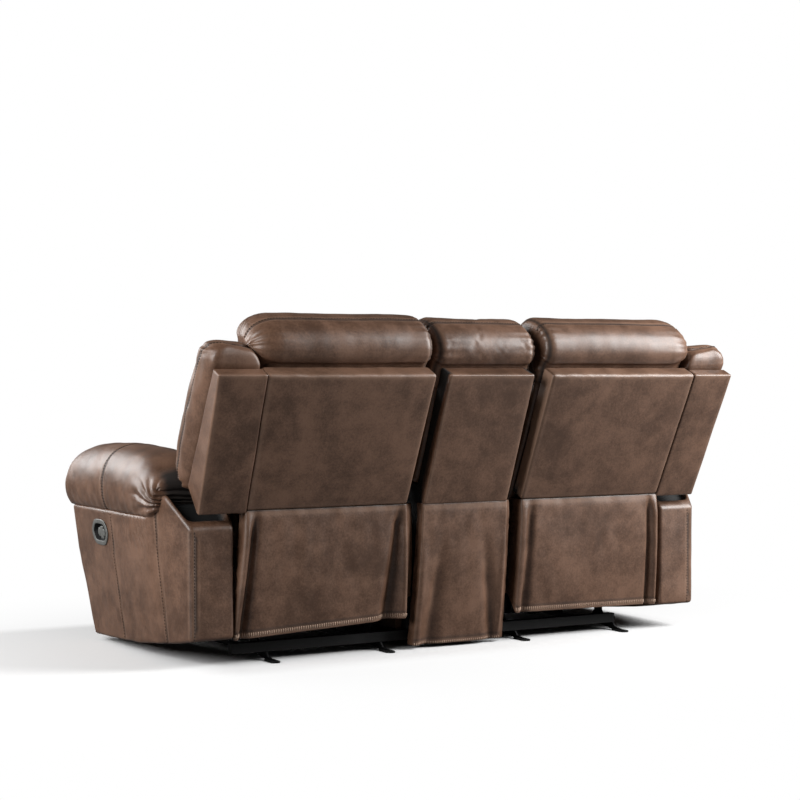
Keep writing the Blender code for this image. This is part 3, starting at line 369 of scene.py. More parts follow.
# Seat deck: woven elastic webbing in black and grey, pulled across the frame both ways and stapled down.
# The bands pass over and under each other, so the deck gives under the cushion.
webbing, shader = finish("elastic_webbing", {"Specular IOR Level": 0.2})
ribs = bands("DIAGONAL", 260.0)
fuzz = speckle(420.0, 3.0)
tint(ribs * 0.6 + fuzz * 0.4, srgb(22, 22, 23), srgb(62, 60, 58)).into(shader, "Base Color")
(0.78 + fuzz * 0.18).into(shader, "Roughness")
relief(shader, ribs, strength=0.5, deep=0.0006)
BAND_COUNT = 9
BAND_HALF = 0.44
BAND_THICK = 0.001
BAND_LIFT = 0.0011
steps = BAND_COUNT * 6
for side_word, side in SIDES:
    low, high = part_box(side_word + "_seat_deck")
    spans = (high[0] - low[0], high[1] - low[1])
    middle = (low[2] + high[2]) / 2
    verts = []
    faces = []
    for way in (0, 1):
        pitch = spans[1 - way] / BAND_COUNT
        for k in range(BAND_COUNT):
            loops = []
            for i in range(steps + 1):
                lift = BAND_LIFT * sin(pi * BAND_COUNT * i / steps) * (1 if (k + way) % 2 else -1)
                loop = []
                for edge, face in ((-1, 0.5), (1, 0.5), (1, -0.5), (-1, -0.5)):
                    place = [spans[way] * i / steps, pitch * (k + 0.5 + edge * BAND_HALF)]
                    x, y = place if way == 0 else place[::-1]
                    loop.append((low[0] + x, low[1] + y, middle + lift + face * BAND_THICK))
                loops.append(loop)
            lofted(verts, faces, loops)
    deck = skin(side_word + "_webbing_deck", verts, faces, webbing)
    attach(deck, side_word + "_carriage")
    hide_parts(side_word + "_seat_deck")


# Backs: timber frames under waxed brown leather, pulled tight over thin wadding and closed at the inner side.
# The hide is mottled, paler where it rubs along the edges, and it stays flat at the rear with a slight crown.
def painted(name):
    """A value that is painted on the points of each piece."""
    return Wire.node("ShaderNodeAttribute", {"attribute_name": name}, {}, "Fac")


leather, shader = finish("waxed_brown_leather", {"Coat Weight": 0.10, "Coat Roughness": 0.30,
                                                 "Specular IOR Level": 0.45})
cloud = speckle(5.2, 4.0, 0.6, 0.6)
patch = speckle(17.0, 4.0, 0.6)
fleck = speckle(150.0, 4.0, 0.7)
tone = eased(cloud * 0.38 + patch * 0.32 + fleck * 0.30, 0.36, 0.64)
painted_shade = painted("painted_shade")
painted_gap_shade = painted("painted_gap_shade")
colour = tint(tone, srgb(66, 44, 30), srgb(107, 79, 62))
# Paler leather: rubbing along the edges, plus painted light on the backs' inner sides and a painted highlight
# beside the seams.
colour = tint(painted("rub_and_painted_light") * (0.2 + patch * 0.5), colour, srgb(138, 110, 92))
# Painted shade: the leather is darker in the creases of seams and folds, where shade falls.
colour = tint(painted_shade * 0.85, colour, srgb(24, 16, 12))
# Painted shade: black where gaps and hollows lie in shade.
tint(painted_gap_shade, colour, srgb(4, 4, 4)).into(shader, "Base Color")
(0.32 + patch * 0.14 + fleck * 0.10 + painted_shade * 0.2 + painted_gap_shade * 0.4).into(shader, "Roughness")
pores = Wire.node("ShaderNodeTexVoronoi", {"feature": "SMOOTH_F1"},
                  {"Vector": own_space(), "Scale": 430.0, "Smoothness": 0.7}, "Distance")
relief(shader, pores * 0.7 + speckle(75.0, 6.0, 0.7) * 1.1, strength=0.32, deep=0.0011)
LEAN = radians(24.47)
BACK_FOOT = 0.348
FOOT_HIGH = 0.457
PANEL_HIGH = 0.4395
PANEL_DEEP = 0.062
SPLAY = 0.017


def leaning(x, u, v, foot, lean):
    """Points u up a leaning rear face and v in front of it."""
    y = foot + u * sin(lean) - v * cos(lean)
    return np.stack([x + 0.0 * u, y, FOOT_HIGH + u * cos(lean) + v * sin(lean)], -1)


def up_and_before(points, foot, lean):
    """How far points lie up a leaning rear face and in front of it."""
    y = points[:, 1] - foot
    z = points[:, 2] - FOOT_HIGH
    return y * sin(lean) + z * cos(lean), z * sin(lean) - y * cos(lean)


def on_back(x, u, v):
    return leaning(x, u, v, BACK_FOOT, LEAN)


def rounded(corners, radius, counts, arc=4):
    """Closed outline with round corners, and so many points on each straight side."""
    corners = np.asarray(corners, float)
    total = len(corners)
    rounds = []
    for k in range(total):
        here = corners[k]
        back = corners[k - 1] - here
        on = corners[(k + 1) % total] - here
        back /= np.linalg.norm(back)
        on /= np.linalg.norm(on)
        half = np.arccos(np.clip(back @ on, -1.0, 1.0)) / 2
        middle = (back + on) / np.linalg.norm(back + on) * radius / np.sin(half)
        first = back * radius / np.tan(half) - middle
        last = on * radius / np.tan(half) - middle
        start = np.arctan2(first[1], first[0])
        turn = (np.arctan2(last[1], last[0]) - start + pi) % (2 * pi) - pi
        angles = start + turn * np.linspace(0.0, 1.0, arc + 1)
        rounds.append(here + middle + radius * np.stack([np.cos(angles), np.sin(angles)], 1))
    line = []
    for k in range(total):
        line.append(rounds[k])
        start = rounds[k][-1]
        end = rounds[(k + 1) % total][0]
        shares = np.arange(1, counts[k] + 1)[:, None] / (counts[k] + 1)
        line.append(start + (end - start) * shares)
    return np.concatenate(line)


def shrink(loop, by):
    """A flat closed loop moved inward by a distance."""
    along = np.roll(loop, -1, axis=0) - np.roll(loop, 1, axis=0)
    along /= np.linalg.norm(along, axis=1)[:, None]
    inward = np.stack([-along[:, 1], along[:, 0]], 1)
    area = np.sum(loop[:, 0] * np.roll(loop[:, 1], -1) - loop[:, 1] * np.roll(loop[:, 0], -1))
    return loop + inward * by * (1.0 if area > 0 else -1.0)


def stations(first, last, round_first, round_last, step):
    """Places along a bar and how far the outline draws in there, so that both ends are round."""
    turns = np.linspace(pi / 2, 0.0, 5)
    places = [(first + round_first * (1 - sin(t)), round_first * (1 - cos(t))) for t in turns]
    inner = (first + round_first, last - round_last)
    count = max(2, int(round((inner[1] - inner[0]) / step)))
    places += [(inner[0] + (inner[1] - inner[0]) * k / count, 0.0) for k in range(1, count)]
    places += [(last - round_last * (1 - sin(t)), round_last * (1 - cos(t))) for t in turns[::-1]]
    return places


def tube(name, loops, finish_used, rings=4):
    """Skin round a row of closed loops; each end is closed by rings that run to its middle."""
    loops = np.asarray(loops, float)
    count, size = loops.shape[:2]
    verts = []
    faces = []
    lofted(verts, faces, loops, False, False)
    for which in (0, count - 1):
        middle = loops[which].mean(axis=0)
        before = which * size
        for k in range(1, rings):
            total = len(verts)
            verts.extend(middle + (loops[which] - middle) * (1.0 - k / rings))
            for i in range(size):
                j = (i + 1) % size
                faces.append((before + i, before + j, total + j, total + i))
            before = total
        for i in range(size):
            faces.append((before + i, before + (i + 1) % size, len(verts)))
        verts.append(middle)
    return skin(name, verts, faces, finish_used)


def points_of(piece):
    flat = np.empty(len(piece.data.vertices) * 3)
    piece.data.vertices.foreach_get("co", flat)
    return flat.reshape(-1, 3)


def put_points(piece, points):
    piece.data.vertices.foreach_set("co", np.ascontiguousarray(points, float).ravel())
    piece.data.update()


def press(piece, amount):
    """Move each point along its normal, outward where the amount is above nought."""
    flat = np.empty(len(piece.data.vertices) * 3)
    piece.data.vertex_normals.foreach_get("vector", flat)
    put_points(piece, points_of(piece) + flat.reshape(-1, 3) * np.asarray(amount)[:, None])


def ripple(points, scale, seed):
    """Smooth noise, from about -1 to 1, at each point."""
    shift = Vector((seed * 7.3, seed * 3.1, seed * 5.7))
    return np.array([noise.noise(Vector(p) * scale + shift) for p in points])


def dent(distance, wide):
    return np.exp(-(distance / wide) ** 2)


def ramp(values, start, length):
    """Nought before the start, one past the length after it; a length below nought runs the other way."""
    return np.clip((values - start) / length, 0.0, 1.0)


def crown(share, rise):
    """Swell of a padded board: full over its middle and nought at its edges."""
    return (1 - np.abs(2 * share - 1) ** 4) * (1 - np.abs(2 * rise - 1) ** 6)


def paint(piece, name, values):
    made = piece.data.attributes.get(name) or piece.data.attributes.new(name, "FLOAT", "POINT")
    made.data.foreach_set("value", np.asarray(values, np.float32))


def smoother(piece):
    made = piece.modifiers.new("smooth", "SUBSURF")
    made.levels = 1
    made.render_levels = 1


def dress(piece, body, cad_node):
    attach(piece, body)
    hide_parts(cad_node)


def panel(name, side, outline, first, last, rounds, inner_splay):
    """A board's cover on a leaning back, and its points' places along it, up it and before its rear face."""
    wide = last - first
    loops = []
    places = []
    for along, inset in stations(0.0, wide, *rounds, 0.011):
        loop = shrink(outline, inset)
        spread = SPLAY * loop[:, 0] / PANEL_HIGH * (inner_splay + (1.0 - inner_splay) * along / wide)
        loops.append(on_back(side * (first + along + spread), loop[:, 0], loop[:, 1]))
        places.append(np.stack([np.full(len(loop), along), loop[:, 0], loop[:, 1]], 1))
    cover = tube(name, loops, leather, 5)
    places = np.concatenate(places)
    in_ends = len(cover.data.vertices) - len(places)
    ends = np.tile((wide / 2, PANEL_HIGH / 2, PANEL_DEEP / 2), (in_ends, 1))
    return cover, np.concatenate([places, ends]).T


BACK_IN = 0.211
BACK_OUT = 0.755
BACK_WIDE = BACK_OUT - BACK_IN
outline = rounded([(0.0, 0.0), (PANEL_HIGH, 0.0), (PANEL_HIGH, PANEL_DEEP), (0.0, PANEL_DEEP)],
                  radius=0.010, counts=(44, 4, 14, 4))
for side_word, side in SIDES:
    back, (along, up, before) = panel(side_word + "_back_cover", side, outline, BACK_IN, BACK_OUT,
                                      rounds=(0.009, 0.008), inner_splay=0.0)
    rise = up / PANEL_HIGH
    rear = 1.0 - ramp(before, 0.0, 0.012)
    top = ramp(rise, 0.97, 0.03)
    points = points_of(back)
    amount = rear * (0.0040 * crown(along / BACK_WIDE, rise) + 0.0016 * ripple(points, 7.0, side + 2))
    amount += top * 0.0022 * ripple(points * (1.0, 0.4, 0.4), 26.0, side + 4)
    press(back, amount)
    edge = np.minimum(np.minimum(along, BACK_WIDE - along), np.minimum(up, PANEL_HIGH - up))
    inner_side = np.abs(points[:, 0]) < BACK_IN + 0.002
    depth = up_and_before(points, BACK_FOOT, LEAN)[1]
    # The edges are paler from rubbing, the top band also from painted light, and the inner side is painted
    # paler, as light falling on it.
    paint(back, "rub_and_painted_light", rear * dent(edge, 0.012) * 0.8 + top * 0.3 + inner_side * 2.2)
    # Painted shade: the inner side, in the gap beside the console, is black towards its front, over less of
    # it higher up.
    paint(back, "painted_gap_shade", (depth > 0.026 + 0.05 * rise) & inner_side)
    smoother(back)
    dress(back, side_word + "_back", side_word + "_back_frame")


# Lugs: two steel straps screwed to the back frame, each with an eye that turns on the axle.
# They are cut from plate, bent square and painted black like the rest of the mechanism.
def bevelled(piece, wide, segments=2):
    made = piece.modifiers.new("edges", "BEVEL")
    made.width = wide
    made.segments = segments
    return made


LUG_FACES = (0.149, 0.161)
LUG_TOP = 0.040
EYE_UP = -0.055
EYE_BEFORE = 0.040
EYE_RADIUS = 0.018
lug_line = [(LUG_TOP, EYE_BEFORE - EYE_RADIUS), (LUG_TOP, EYE_BEFORE + EYE_RADIUS)]
for t in np.linspace(0.0, pi, 11):
    lug_line.append((EYE_UP - EYE_RADIUS * sin(t), EYE_BEFORE + EYE_RADIUS * cos(t)))
lug_line = np.array(lug_line)
for side_word, side in SIDES:
    verts = []
    faces = []
    for out in (-1, 1):
        lofted(verts, faces, [on_back(side * (MECHANISM_X + out * x), lug_line[:, 0], lug_line[:, 1])
                              for x in LUG_FACES])
    lugs = skin(side_word + "_back_lugs", verts, faces, black_steel)
    bevelled(lugs, wide=0.0012)
    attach(lugs, side_word + "_back")

# Wings: boxes of board and wadding beside the backs, under the same leather, screwed to the back frames.
# Their outer faces widen from the top downward and are cut back at the foot, to clear the arms.
WING_FOOT = (0.036, 0.100)
WING_LOW = -0.008
WING_TOP = 0.045
WING_IN = 0.7556
WING_OUT = 0.910
WING_WIDE = WING_OUT - WING_IN
profile = rounded([(WING_LOW, 0.0), (PANEL_HIGH, 0.0), (PANEL_HIGH, WING_TOP), WING_FOOT, (WING_LOW, 0.014)],
                  radius=0.0058, counts=(44, 3, 38, 9, 1))
for side_word, side in SIDES:
    wing, (along, up, before) = panel(side_word + "_wing_cover", side, profile, WING_IN, WING_OUT,
                                      rounds=(0.0056, 0.0056), inner_splay=1.0)
    rear = 1.0 - ramp(before, 0.0, 0.010)
    swell = rear * 0.0022 * crown(along / WING_WIDE, up / PANEL_HIGH)
    press(wing, swell + 0.0011 * ripple(points_of(wing), 9.0, side + 6))
    edge = np.minimum(np.abs(along - WING_WIDE), PANEL_HIGH - up)
    paint(wing, "rub_and_painted_light", rear * dent(edge, 0.010) * 0.8)
    smoother(wing)
    dress(wing, side_word + "_back", side_word + "_wing_panel")


# Wing pads: soft bolsters of foam and fibre before the wings, sewn along the outer edge and over the top.
# They are blown up by simulation with the seam and the rear face held, then gathered along the seam.
def spaced(line, count, closed=False):
    """So many points, evenly spaced along a line."""
    steps = np.linalg.norm(np.diff(line, axis=0), axis=1)
    run = np.concatenate([[0.0], np.cumsum(steps)])
    wanted = np.linspace(0.0, run[-1], count, endpoint=not closed)
    return np.stack([np.interp(wanted, run, line[:, c]) for c in range(line.shape[1])], 1)


def smooth_through(points, count, closed):
    """Evenly spaced points on a smooth curve through the given ones, of any number of columns."""
    points = np.asarray(points, float)
    total = len(points)
    t = np.linspace(0.0, 1.0, 20, endpoint=False)[:, None]
    fine = []
    for k in range(total if closed else total - 1):
        pick = [k - 1, k, k + 1, k + 2]
        pick = [p % total for p in pick] if closed else [min(max(p, 0), total - 1) for p in pick]
        a, b, c, d = points[pick]
        bend = (2 * a - 5 * b + 4 * c - d) * t ** 2 + (3 * b - a - 3 * c + d) * t ** 3
        fine.append(0.5 * (2 * b + (c - a) * t + bend))
    fine.append(points[:1] if closed else points[-1:])
    return spaced(np.concatenate(fine), count, closed)


def nearest(outline, across, up):
    """Which point of an outline lies nearest to a place."""
    return int(np.argmin(np.hypot(outline[:, 0] - across, outline[:, 1] - up)))


def grid_of(loops):
    """Numbers of a tube's points, one row for each loop."""
    return np.arange(len(loops) * len(loops[0])).reshape(len(loops), -1)


def puff(piece, grid, holds, push, slack, most):
    rest = points_of(piece)
    held = np.zeros(len(rest))
    for where, share in holds:
        held[grid[where]] = share
    group = piece.vertex_groups.new(name="held")
    for share in np.unique(held):
        group.add(np.nonzero(held == share)[0].tolist(), float(share), "REPLACE")
    cloth = piece.modifiers.new("puff", "CLOTH")
    settings = cloth.settings
    settings.quality = 4
    settings.tension_stiffness = 18.0
    settings.compression_stiffness = 18.0
    settings.shear_stiffness = 8.0
    settings.bending_stiffness = 0.6
    settings.use_pressure = True
    settings.uniform_pressure_force = push
    settings.shrink_min = -slack
    settings.vertex_group_mass = "held"
    settings.effector_weights.gravity = 0.0
    cloth.collision_settings.use_collision = False
    for step in range(1, 21):
        scene.frame_set(step)
    graph = bpy.context.evaluated_depsgraph_get()
    blown = points_of(piece.evaluated_get(graph))
    piece.modifiers.remove(cloth)
    piece.vertex_groups.clear()
    scene.frame_set(1)
    move = blown - rest
    far = np.linalg.norm(move, axis=1)
    put_points(piece, rest + move * np.minimum(1.0, most / np.maximum(far, 1e-9))[:, None])


def sew(piece, seams, depth, wide):
    """Draw the cover in along its seams, and paint shade in the crease and rubbing and a highlight beside it.
    """
    dots = np.concatenate([spaced(seam, max(2, int(len(seam) * 4))) for seam in seams])
    tree = KDTree(len(dots))
    for k, dot in enumerate(dots):
        tree.insert(dot, k)
    tree.balance()
    far = np.array([tree.find(p)[2] for p in points_of(piece)])
    press(piece, -depth * dent(far, wide))
    # Painted shade in the seam's crease.
    paint(piece, "painted_shade", dent(far, wide * 0.55))
    # Paler band beside the crease: partly rubbing, partly a painted highlight on the ridge.
    paint(piece, "rub_and_painted_light", dent(far - wide * 1.9, wide) * 0.6)


def mirrored(piece, name):
    """The same cover for the right-hand recliner."""
    mesh = piece.data.copy()
    mesh.name = name
    made = bpy.data.objects.new(name, mesh)
    scene.collection.objects.link(made)
    put_points(made, points_of(piece) * (-1.0, 1.0, 1.0))
    mesh.flip_normals()
    return made


def twisted_thread(name, dark, pale):
    made, shader = finish(name, {"Specular IOR Level": 0.3})
    twist = speckle(900.0)
    tint(twist, dark, pale).into(shader, "Base Color")
    (0.5 + twist * 0.25).into(shader, "Roughness")
    return made


dark_thread = twisted_thread("dark_brown_thread", srgb(18, 12, 9), srgb(36, 26, 20))
STITCH_SHAPE = ((-0.5, -0.5, 0.7), (-0.28, 0.55, 1.0), (0.28, 0.55, 1.0), (0.5, -0.5, 0.7))
STITCH_CORNERS = ((1.0, 0.0), (0.0, 1.0), (-1.0, 0.0), (0.0, -1.0))


def stitches(name, piece, seams, aside, thread=dark_thread, long=0.0062, pitch=0.0092, thick=0.0012,
             overcast=False):
    """Rows of thread beside the seams of a finished cover: each stitch dips into the leather at both ends."""
    tree = BVHTree.FromObject(piece, bpy.context.evaluated_depsgraph_get())
    verts = []
    faces = []
    for seam in seams:
        run = np.linalg.norm(np.diff(seam, axis=0), axis=1).sum()
        line = spaced(seam, max(3, int(run / pitch)))
        along = np.gradient(line, axis=0)
        for offset in aside:
            for dot, way in zip(line, along):
                spot, normal, _, _ = tree.find_nearest(Vector(dot))
                way = Vector(way).normalized()
                beside = way.cross(normal).normalized()
                spot, normal, _, _ = tree.find_nearest(spot + beside * offset)
                beside = way.cross(normal).normalized()
                way = normal.cross(beside).normalized()
                if overcast:
                    way, beside = beside, way
                loops = []
                for share, lift, fat in STITCH_SHAPE:
                    middle = spot + way * long * share + normal * thick * lift
                    half = thick * fat
                    loops.append([middle + beside * half * a + normal * half * b for a, b in STITCH_CORNERS])
                lofted(verts, faces, loops)
    made = skin(name, verts, faces, thread)
    made.parent = piece
    return made


def close_cover(piece, seams, depth, wide, body, cad_node, thread_name, aside, threaded=1):
    """Sew a stuffed cover, hang it on its body and run thread beside the first of its seams."""
    sew(piece, seams, depth, wide)
    smoother(piece)
    dress(piece, body, cad_node)
    stitches(thread_name, piece, seams[:threaded], aside)


def wing_front(u):
    """How far the front edge of the wing's box lies before its rear face."""
    return np.interp(u, (WING_FOOT[0], PANEL_HIGH), (WING_FOOT[1], WING_TOP))


# Across the bolster as a share of its width, and from its rear face to its front as a share of its depth
ring = smooth_through([(-0.46, 0.02), (-0.2, 0.0), (0.2, 0.0), (0.46, 0.02), (0.54, 0.15), (0.585, 0.40),
                       (0.595, 0.62), (0.545, 0.80), (0.41, 0.93), (0.16, 0.99), (-0.16, 0.99), (-0.36, 0.94),
                       (-0.455, 0.80), (-0.485, 0.5), (-0.485, 0.18)], 56, True)
# Up the back, then the rear face, the front face and the width of the bolster there
low_end = [(0.016, 0.118, 0.140, 0.50), (0.018, 0.108, 0.158, 0.76), (0.029, 0.1035, 0.170, 0.90)]
fronts = ((0.056, 0.192), (0.100, 0.212), (0.160, 0.221), (0.260, 0.212), (0.360, 0.193), (0.4385, 0.170))
body = [(u, wing_front(u) + 0.0022, front, 0.99) for u, front in fronts]
arch = []
for t in np.radians((22, 42, 58, 70, 79)):
    turned = 1 - cos(t)
    arch.append((0.4385 + 0.055 * sin(t), 0.0474 + 0.030 * turned, 0.168 - 0.066 * turned,
                 0.99 * cos(t) ** 0.55))
rows = smooth_through(low_end + body + arch, 70, False)
BOLSTER_WIDE = WING_OUT - BACK_OUT
BOLSTER_MIDDLE = (BACK_OUT + WING_OUT) / 2
loops = []
for u, rear_v, front_v, narrow in rows:
    x = BOLSTER_MIDDLE + SPLAY * u / PANEL_HIGH + ring[:, 0] * BOLSTER_WIDE * narrow
    lean_up = u + 0.010 * ring[:, 0] * ramp(u, 0.36, 0.12)
    loops.append(on_back(x, lean_up, rear_v + (front_v - rear_v) * ring[:, 1]))
wing_pad = tube("left_wing_bolster", loops, leather, 4)
grid = grid_of(loops)
outer_seam = nearest(ring, 0.59, 0.56)
inner_seam = nearest(ring, -0.47, 0.60)
seat = np.abs(ring[:, 1]) < 0.04
holds = [(np.s_[:, seat], 1.0), (np.s_[:, [outer_seam, inner_seam]], 1.0)]
puff(wing_pad, grid, holds, push=3.0, slack=0.002, most=0.007)
points = points_of(wing_pad)
order = np.arange(len(ring))
near = np.full(len(points), 9.0)
near[grid] = np.minimum(np.abs(order - outer_seam), np.abs(order - inner_seam)) * 0.010
gather = np.sin(points[:, 2] * 2 * pi / 0.021 + 3.0 * ripple(points, 12.0, 3))
gather *= (0.0034 + 0.0040 * ramp(points[:, 2], 0.62, -0.08)) * np.exp(-near / 0.030)
press(wing_pad, gather + 0.0020 * ripple(points, 16.0, 5))
right_pad = mirrored(wing_pad, "right_wing_bolster")
press(right_pad, 0.0016 * ripple(points_of(right_pad), 13.0, 8))
for piece, side_word in ((wing_pad, "left"), (right_pad, "right")):
    at = points_of(piece)
    seam = spaced(np.concatenate([at[grid[2:, outer_seam]], at[grid[:1:-1, inner_seam]]]), 160)
    close_cover(piece, [seam], depth=0.0035, wide=0.005, body=side_word + "_back",
                cad_node=side_word + "_wing_pad", thread_name=side_word + "_wing_bolster_thread",
                aside=(0.006,))

# Head pillows: fat rolls of fibre over the tops of the backs, with a D-shaped panel sewn in at each end.
# A topstitched seam runs along the crest, and the leather gathers in short folds where the ends are sewn in.
PILLOW = [(0.0628, 0.4420), (0.052, 0.455), (0.047, 0.480), (0.053, 0.506), (0.071, 0.530), (0.100, 0.547),
          (0.140, 0.556), (0.185, 0.553), (0.226, 0.536), (0.254, 0.503), (0.262, 0.465), (0.256, 0.422),
          (0.240, 0.389), (0.205, 0.370), (0.150, 0.3655), (0.100, 0.3675), (0.0628, 0.378)]
PILLOW_CREST = (0.146, 0.557)


def stuffed(name, outline, span, rounds, to_world, step, squeeze, end_rings):
    """A cover swept along x, with its ends drawn in, and the grid of its points."""
    loops = []
    for along, inset in stations(*span, *rounds, step):
        loop = shrink(outline, inset * squeeze)
        loops.append(to_world(along, loop[:, 1], loop[:, 0]))
    return tube(name, loops, leather, end_rings), grid_of(loops)


def fold_ends(piece, grid, reaches, high, seed):
    """Short folds that run in from the sewn ends and die out along the roll."""
    points = points_of(piece)
    middles = points[grid].mean(axis=1)
    run = np.concatenate([[0.0], np.cumsum(np.linalg.norm(np.diff(middles, axis=0), axis=1))])
    around = np.linspace(0.0, 0.80, grid.shape[1], endpoint=False)
    amount = np.zeros(len(points))
    for distance, reach, turn in ((run, reaches[0], 0.0), (run[-1] - run, reaches[1], 2.1)):
        wave = np.sin(2 * pi * around / 0.027 + turn + 2.5 * np.sin(around * 17.0 + seed))
        pick = 0.5 + 0.5 * np.sin(around * 31.0 + seed * 2.0 + turn)
        amount[grid] += high * np.exp(-distance / reach)[:, None] * (wave * pick)[None, :]
    press(piece, amount)


def roll(name, span, rounds, to_world, drop, held_ends, slack, most):
    """A pillow roll, blown up over its board, with its crest seam's place in the grid of its points."""
    shape = smooth_through([(v, u - drop) for v, u in PILLOW], 84, True)
    piece, grid = stuffed(name, shape, span, rounds, to_world, step=0.0085, squeeze=0.8, end_rings=6)
    crest = nearest(shape, PILLOW_CREST[0], PILLOW_CREST[1] - drop)
    behind = (shape[:, 0] < 0.075) & (shape[:, 1] < 0.46 - drop)
    below = shape[:, 1] < 0.37 - drop
    holds = [(np.s_[:, behind | below], 1.0), (np.s_[:, crest], 0.9), (held_ends, 1.0)]
    puff(piece, grid, holds, push=4.0, slack=slack, most=most)
    return piece, grid, crest


def beside_bolster(x, u, v):
    """The lower part of the outer end stays clear of the wing bolster, and the upper part lies over it."""
    return on_back(x - max(x - 0.770, 0.0) * ramp(u, 0.478, -0.040), u, v)


def sewn_ends(piece, grid, row, crest):
    """Seam lines of a roll: the crest, and the edge of each end panel, so many rows from the end."""
    at = points_of(piece)
    lines = [at[grid[:, crest]]]
    for end in (row, -1 - row):
        lines.append(np.concatenate([at[grid[end]], at[grid[end, :1]]]))
    return lines


pillow, grid, crest = roll("left_head_roll", (0.207, 0.796), (0.028, 0.080), beside_bolster, drop=0.0,
                           held_ends=[2], slack=0.0, most=0.010)
fold_ends(pillow, grid, reaches=(0.040, 0.050), high=0.0036, seed=1.0)
right_pillow = mirrored(pillow, "right_head_roll")
for piece, side_word, seed in ((pillow, "left", 2), (right_pillow, "right", 9)):
    at = points_of(piece)
    press(piece, 0.0035 * ripple(at, 7.0, seed) + 0.0007 * ripple(at * (1.0, 0.5, 0.5), 30.0, seed + 1))
    close_cover(piece, sewn_ends(piece, grid, 2, crest)[:2], depth=0.0035, wide=0.0045,
                body=side_word + "_back", cad_node=side_word + "_head_pillow",
                thread_name=side_word + "_head_roll_thread", aside=(0.006,))

# Lumbar cushions: tall foam-and-fibre fronts of the backs, tucked under the head pillows.
# A cross seam draws each into two swells, and the sides pull in between their corners.
LUMBAR = [(0.0628, -0.020), (0.110, -0.040), (0.170, -0.050), (0.212, -0.042), (0.238, -0.006),
          (0.252, 0.050), (0.257, 0.120), (0.255, 0.200), (0.246, 0.270), (0.232, 0.320), (0.208, 0.346),
          (0.160, 0.355), (0.110, 0.3565), (0.0628, 0.3600)]
LUMBAR_CROSS = 0.52


def lumbar(name, span, outline_points, to_world):
    """A back cushion, blown up from its board, with its cross seam's place in the grid of its points."""
    shape = smooth_through(outline_points, 88, True)
    piece, grid = stuffed(name, shape, span, (0.034, 0.034), to_world, step=0.0095, squeeze=0.30, end_rings=6)
    low = shape[:, 1].min()
    wanted = low + (shape[:, 1].max() - low) * LUMBAR_CROSS
    in_front = shape[:, 0] > shape[:, 0].mean()
    cross = int(np.argmin(np.where(in_front, np.abs(shape[:, 1] - wanted), 9.0)))
    on_board = shape[:, 0] < 0.066
    holds = [(np.s_[:, on_board], 1.0), (np.s_[:, cross], 1.0), ([2, 3, -3, -4], 0.8)]
    puff(piece, grid, holds, push=4.5, slack=0.016, most=0.012)
    fold_ends(piece, grid, reaches=(0.05, 0.05), high=0.003, seed=3.0)
    return piece, grid, cross


cushion, grid, cross = lumbar("left_lumbar_cushion", (0.204, 0.748), LUMBAR, on_back)
right_cushion = mirrored(cushion, "right_lumbar_cushion")
for piece, side_word, seed in ((cushion, "left", 4), (right_cushion, "right", 6)):
    press(piece, 0.003 * ripple(points_of(piece), 9.0, seed))
    close_cover(piece, sewn_ends(piece, grid, 4, cross), depth=0.006, wide=0.0065,
                body=side_word + "_back", cad_node=side_word + "_back_cushion",
                thread_name=side_word + "_lumbar_thread", aside=(-0.009, 0.009))

# Skirts: single hides hung from the foot of each back, with the sides turned in and a stitched hem.
# Their tops are sewn to the backs.
pale_thread = twisted_thread("tan_thread", srgb(150, 125, 106), srgb(205, 180, 160))
STRIP_STEPS = 6


def skirt(name, span, flare, top, hem, tilt, edges, seed, starts=0.0):
    """A hanging sheet; each edge has a roll, a slanting valley and a strip turned in or hung beside it."""
    across = [(-1, k / STRIP_STEPS) for k in range(STRIP_STEPS, 0, -1)]
    across += [(0, t) for t in np.linspace(0.0, 1.0, 96)]
    across += [(1, k / STRIP_STEPS) for k in range(1, STRIP_STEPS + 1)]
    down = np.linspace(0.0, 1.0, 52)
    verts = []
    for t in down:
        left = span[0] + flare[0] * t
        right = span[1] + flare[1] * t
        grow = min(1.0, max(0.0, t - starts) * 6.0 / (1.0 + 5.0 * starts)) * (0.6 + 0.4 * t)
        for part, share in across:
            y = top[0] + (hem[0] - top[0]) * t + 0.006 * sin(pi * t) + 0.003 * min(1.0, t * 14.0)
            if part == 0:
                x = left + (right - left) * share
                z = top[1] + (hem[1] + tilt * (share - 0.5) - top[1]) * t
                for d, edge in ((x - left, edges[0]), (right - x, edges[1])):
                    roll_high, roll_wide = edge["roll"]
                    valley_deep, valley_top, valley_low, valley_wide = edge["valley"]
                    valley = valley_top + (valley_low - valley_top) * t
                    y += grow * roll_high * float(dent(d - roll_wide, roll_wide))
                    y -= grow * valley_deep * float(dent(d - valley, valley_wide * (0.6 + 0.4 * t)))
                y += 0.0040 * grow * noise.noise(Vector((x * 8.0, z * 3.0, seed)))
                y += 0.0016 * noise.noise(Vector((x * 26.0, z * 15.0, seed + 4.0)))
            else:
                out, into, lift = edges[0 if part < 0 else 1]["strip"]
                x = (left if part < 0 else right) + part * out * share
                y -= into * share ** 0.7
                z = top[1] + (hem[1] + part * tilt * 0.5 + lift * min(1.0, share * 4.0) - top[1]) * t
                crumple = noise.noise(Vector((share * 1.6, z * 38.0, seed + 9.0))) * min(1.0, share * 3.0)
                x += 0.0050 * crumple
                y += 0.0040 * crumple
            verts.append((x, y, z))
    count = len(across)
    faces = []
    for r in range(len(down) - 1):
        for at in range(r * count, r * count + count - 1):
            faces.append((at, at + 1, at + count + 1, at + count))
    piece = skin(name, verts, faces, leather)
    return piece, np.arange(len(verts)).reshape(len(down), count)


